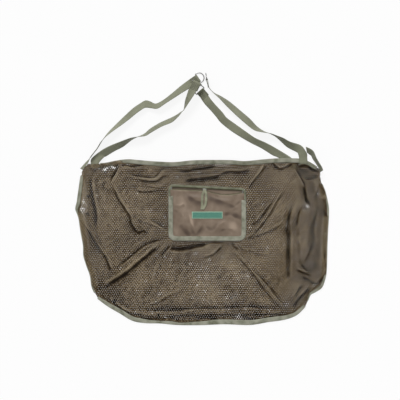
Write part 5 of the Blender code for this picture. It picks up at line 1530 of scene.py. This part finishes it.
def make_slider():
    centre = on_pocket(SLIDER_PLACE, ZIP_DOWN)
    angle = math.atan2(-0.0120, 0.2325)
    half, nose = 0.0045, 0.0034
    flank = [(-0.0060, nose * 0.8), (-0.0030, half * 0.95), (0.0020, half), (0.0050, nose * 0.9),
             (0.0060, nose * 0.6)]
    plan = [(x, -y) for x, y in flank] + flank[::-1]
    shapes = [prism(plan, 0.0201, 0.0211), prism(plan, 0.0171, 0.0181),
              block(0.0030, 0.0057, 0.0006, 0.0180, 0.0202)]
    for near, far in ((-0.0060, -0.0048), (0.0048, 0.0060)):
        shapes.append(block(near, far, 0.0006, 0.0206, BAR_Z))
    turns = [2 * math.pi * k / 12 for k in range(12)]
    rim = [(0.0006 * math.cos(a), BAR_Z + 0.0006 * math.sin(a)) for a in turns]
    shapes.append(between(*([(x, y, z) for y, z in rim] for x in (-0.0054, 0.0054))))
    vertices, faces = joined_shapes(shapes)
    slider = outward(new_object("slider_body", vertices, faces, SLIDER_METAL, smooth=False))
    slider.data.transform(Matrix.Translation((centre.x, centre.y, 0)) @ Matrix.Rotation(angle, 4, "Z"))
    bevelled(slider, 0.0003)
    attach(slider, "slider")
    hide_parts("zip_slider")
    make_ribbon(centre, angle)


def make_ribbon(centre, angle):
    """A loop of ribbon round the slider's bar, its two ends sewn together below."""
    radius = 0.0012
    crown = 0.0227 + 0.0003 - BAR_Z + 0.0003
    far, spread = 0.0600, 0.0046
    low_run = [(-spread * 1.3, -far, crown), (-spread * 1.1, -far * 0.8, crown),
               (-spread * 1.25, -far * 0.5, crown), (-spread * 1.15, -far * 0.24, crown),
               (-spread * 0.4, -far * 0.08, (crown - radius) / 2)]
    turn = [(0, radius * math.sin(a), -radius * math.cos(a)) for a in np.linspace(0, math.pi, 13)]
    stack = 0.0009
    high_run = [(spread * 0.4, -far * 0.08, radius), (spread * 1.1, -far * 0.24, crown + stack * 1.4),
                (spread * 1.2, -far * 0.5, crown + stack * 1.2), (spread * 0.9, -far * 0.74, crown + stack),
                (-spread * 0.6, -far, crown + stack)]
    line = smooth_line(low_run, 5)[:-1] + [Vector(p) for p in turn] + smooth_line(high_run, 5)[1:]
    place_it = Matrix.Translation((centre.x, centre.y, BAR_Z)) @ Matrix.Rotation(angle, 4, "Z")
    half = Vector((0.0039, 0, 0))
    edges = [(place_it @ (p - half), place_it @ (p + half)) for p in line]
    ribbon = strap("pull_loop", edges, 0.0006, RIBBON, columns=7, wide=0.0078)
    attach(ribbon, "pull")
    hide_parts("pull_ribbon")


def make_label():
    low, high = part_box("blank_label")
    u, v = np.meshgrid(np.linspace(0, 1, 47), np.linspace(0, 1, 13))
    x, y = low.x + (high.x - low.x) * u, low.y + (high.y - low.y) * v
    dip = np.maximum(np.abs(u * 2 - 1) ** 8, np.abs(v * 2 - 1) ** 8)
    z = high.z - 0.0003 - dip * 0.0002 + rumples(x, y, 0.030, 1.0, 0.2, 41) * 0.0001
    weave = np.stack([x - low.x, y - low.y], -1)
    label = skin("bare_label", np.stack([x, y, z], -1), LABEL, closed=False, uv=weave)
    thickened(label, CLOTH_THICK)
    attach(label, "bag")
    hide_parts("blank_label")
    rim = [(Vector((low.x + dx, low.y + dy, high.z)), (0, 0, 1)) for dx, dy in
           ((0.0015, 0.0015), (0.0905, 0.0015), (0.0905, 0.0195), (0.0015, 0.0195), (0.0015, 0.0015))]
    stitches = beads("label_stitches", [rim], 0.0034, (0.0024, 0.0006, 0.0004), PALE_THREAD, seed=3)
    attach(stitches, "bag")


# Floor and light

def lay_floor():
    corners = [(x * FLOOR_REACH, y * FLOOR_REACH, FLOOR_Z) for x, y in ((-1, -1), (1, -1), (1, 1), (-1, 1))]
    floor = new_object("white_floor", corners, [(0, 1, 2, 3)], white_floor(), smooth=False)


def set_lights():
    world = bpy.data.worlds.new("soft_studio")
    world.use_nodes = True
    bpy.context.scene.world = world
    background = world.node_tree.nodes["Background"]
    background.inputs["Color"].default_value = (1.0, 1.0, 1.0, 1.0)
    background.inputs["Strength"].default_value = 0.55
    key = bpy.data.lights.new("window_light", "SUN")
    key.energy = 2.3
    key.angle = 0.35
    lamp = stand("window_light", key)
    lamp.rotation_euler = Vector((-0.35, 1.0, 1.05)).to_track_quat("Z", "Y").to_euler()
    bpy.context.scene.view_settings.view_transform = "Standard"


look_straight_down()
lay_floor()
set_lights()
net_x, net_y, net_z, front_net, back_net = make_nets()
make_bag_tapes(net_x, net_y, net_z)
make_harness()
pocket_cloth, pocket_back = make_pocket()
make_pocket_tapes()
make_zip()
make_slider()
make_label()
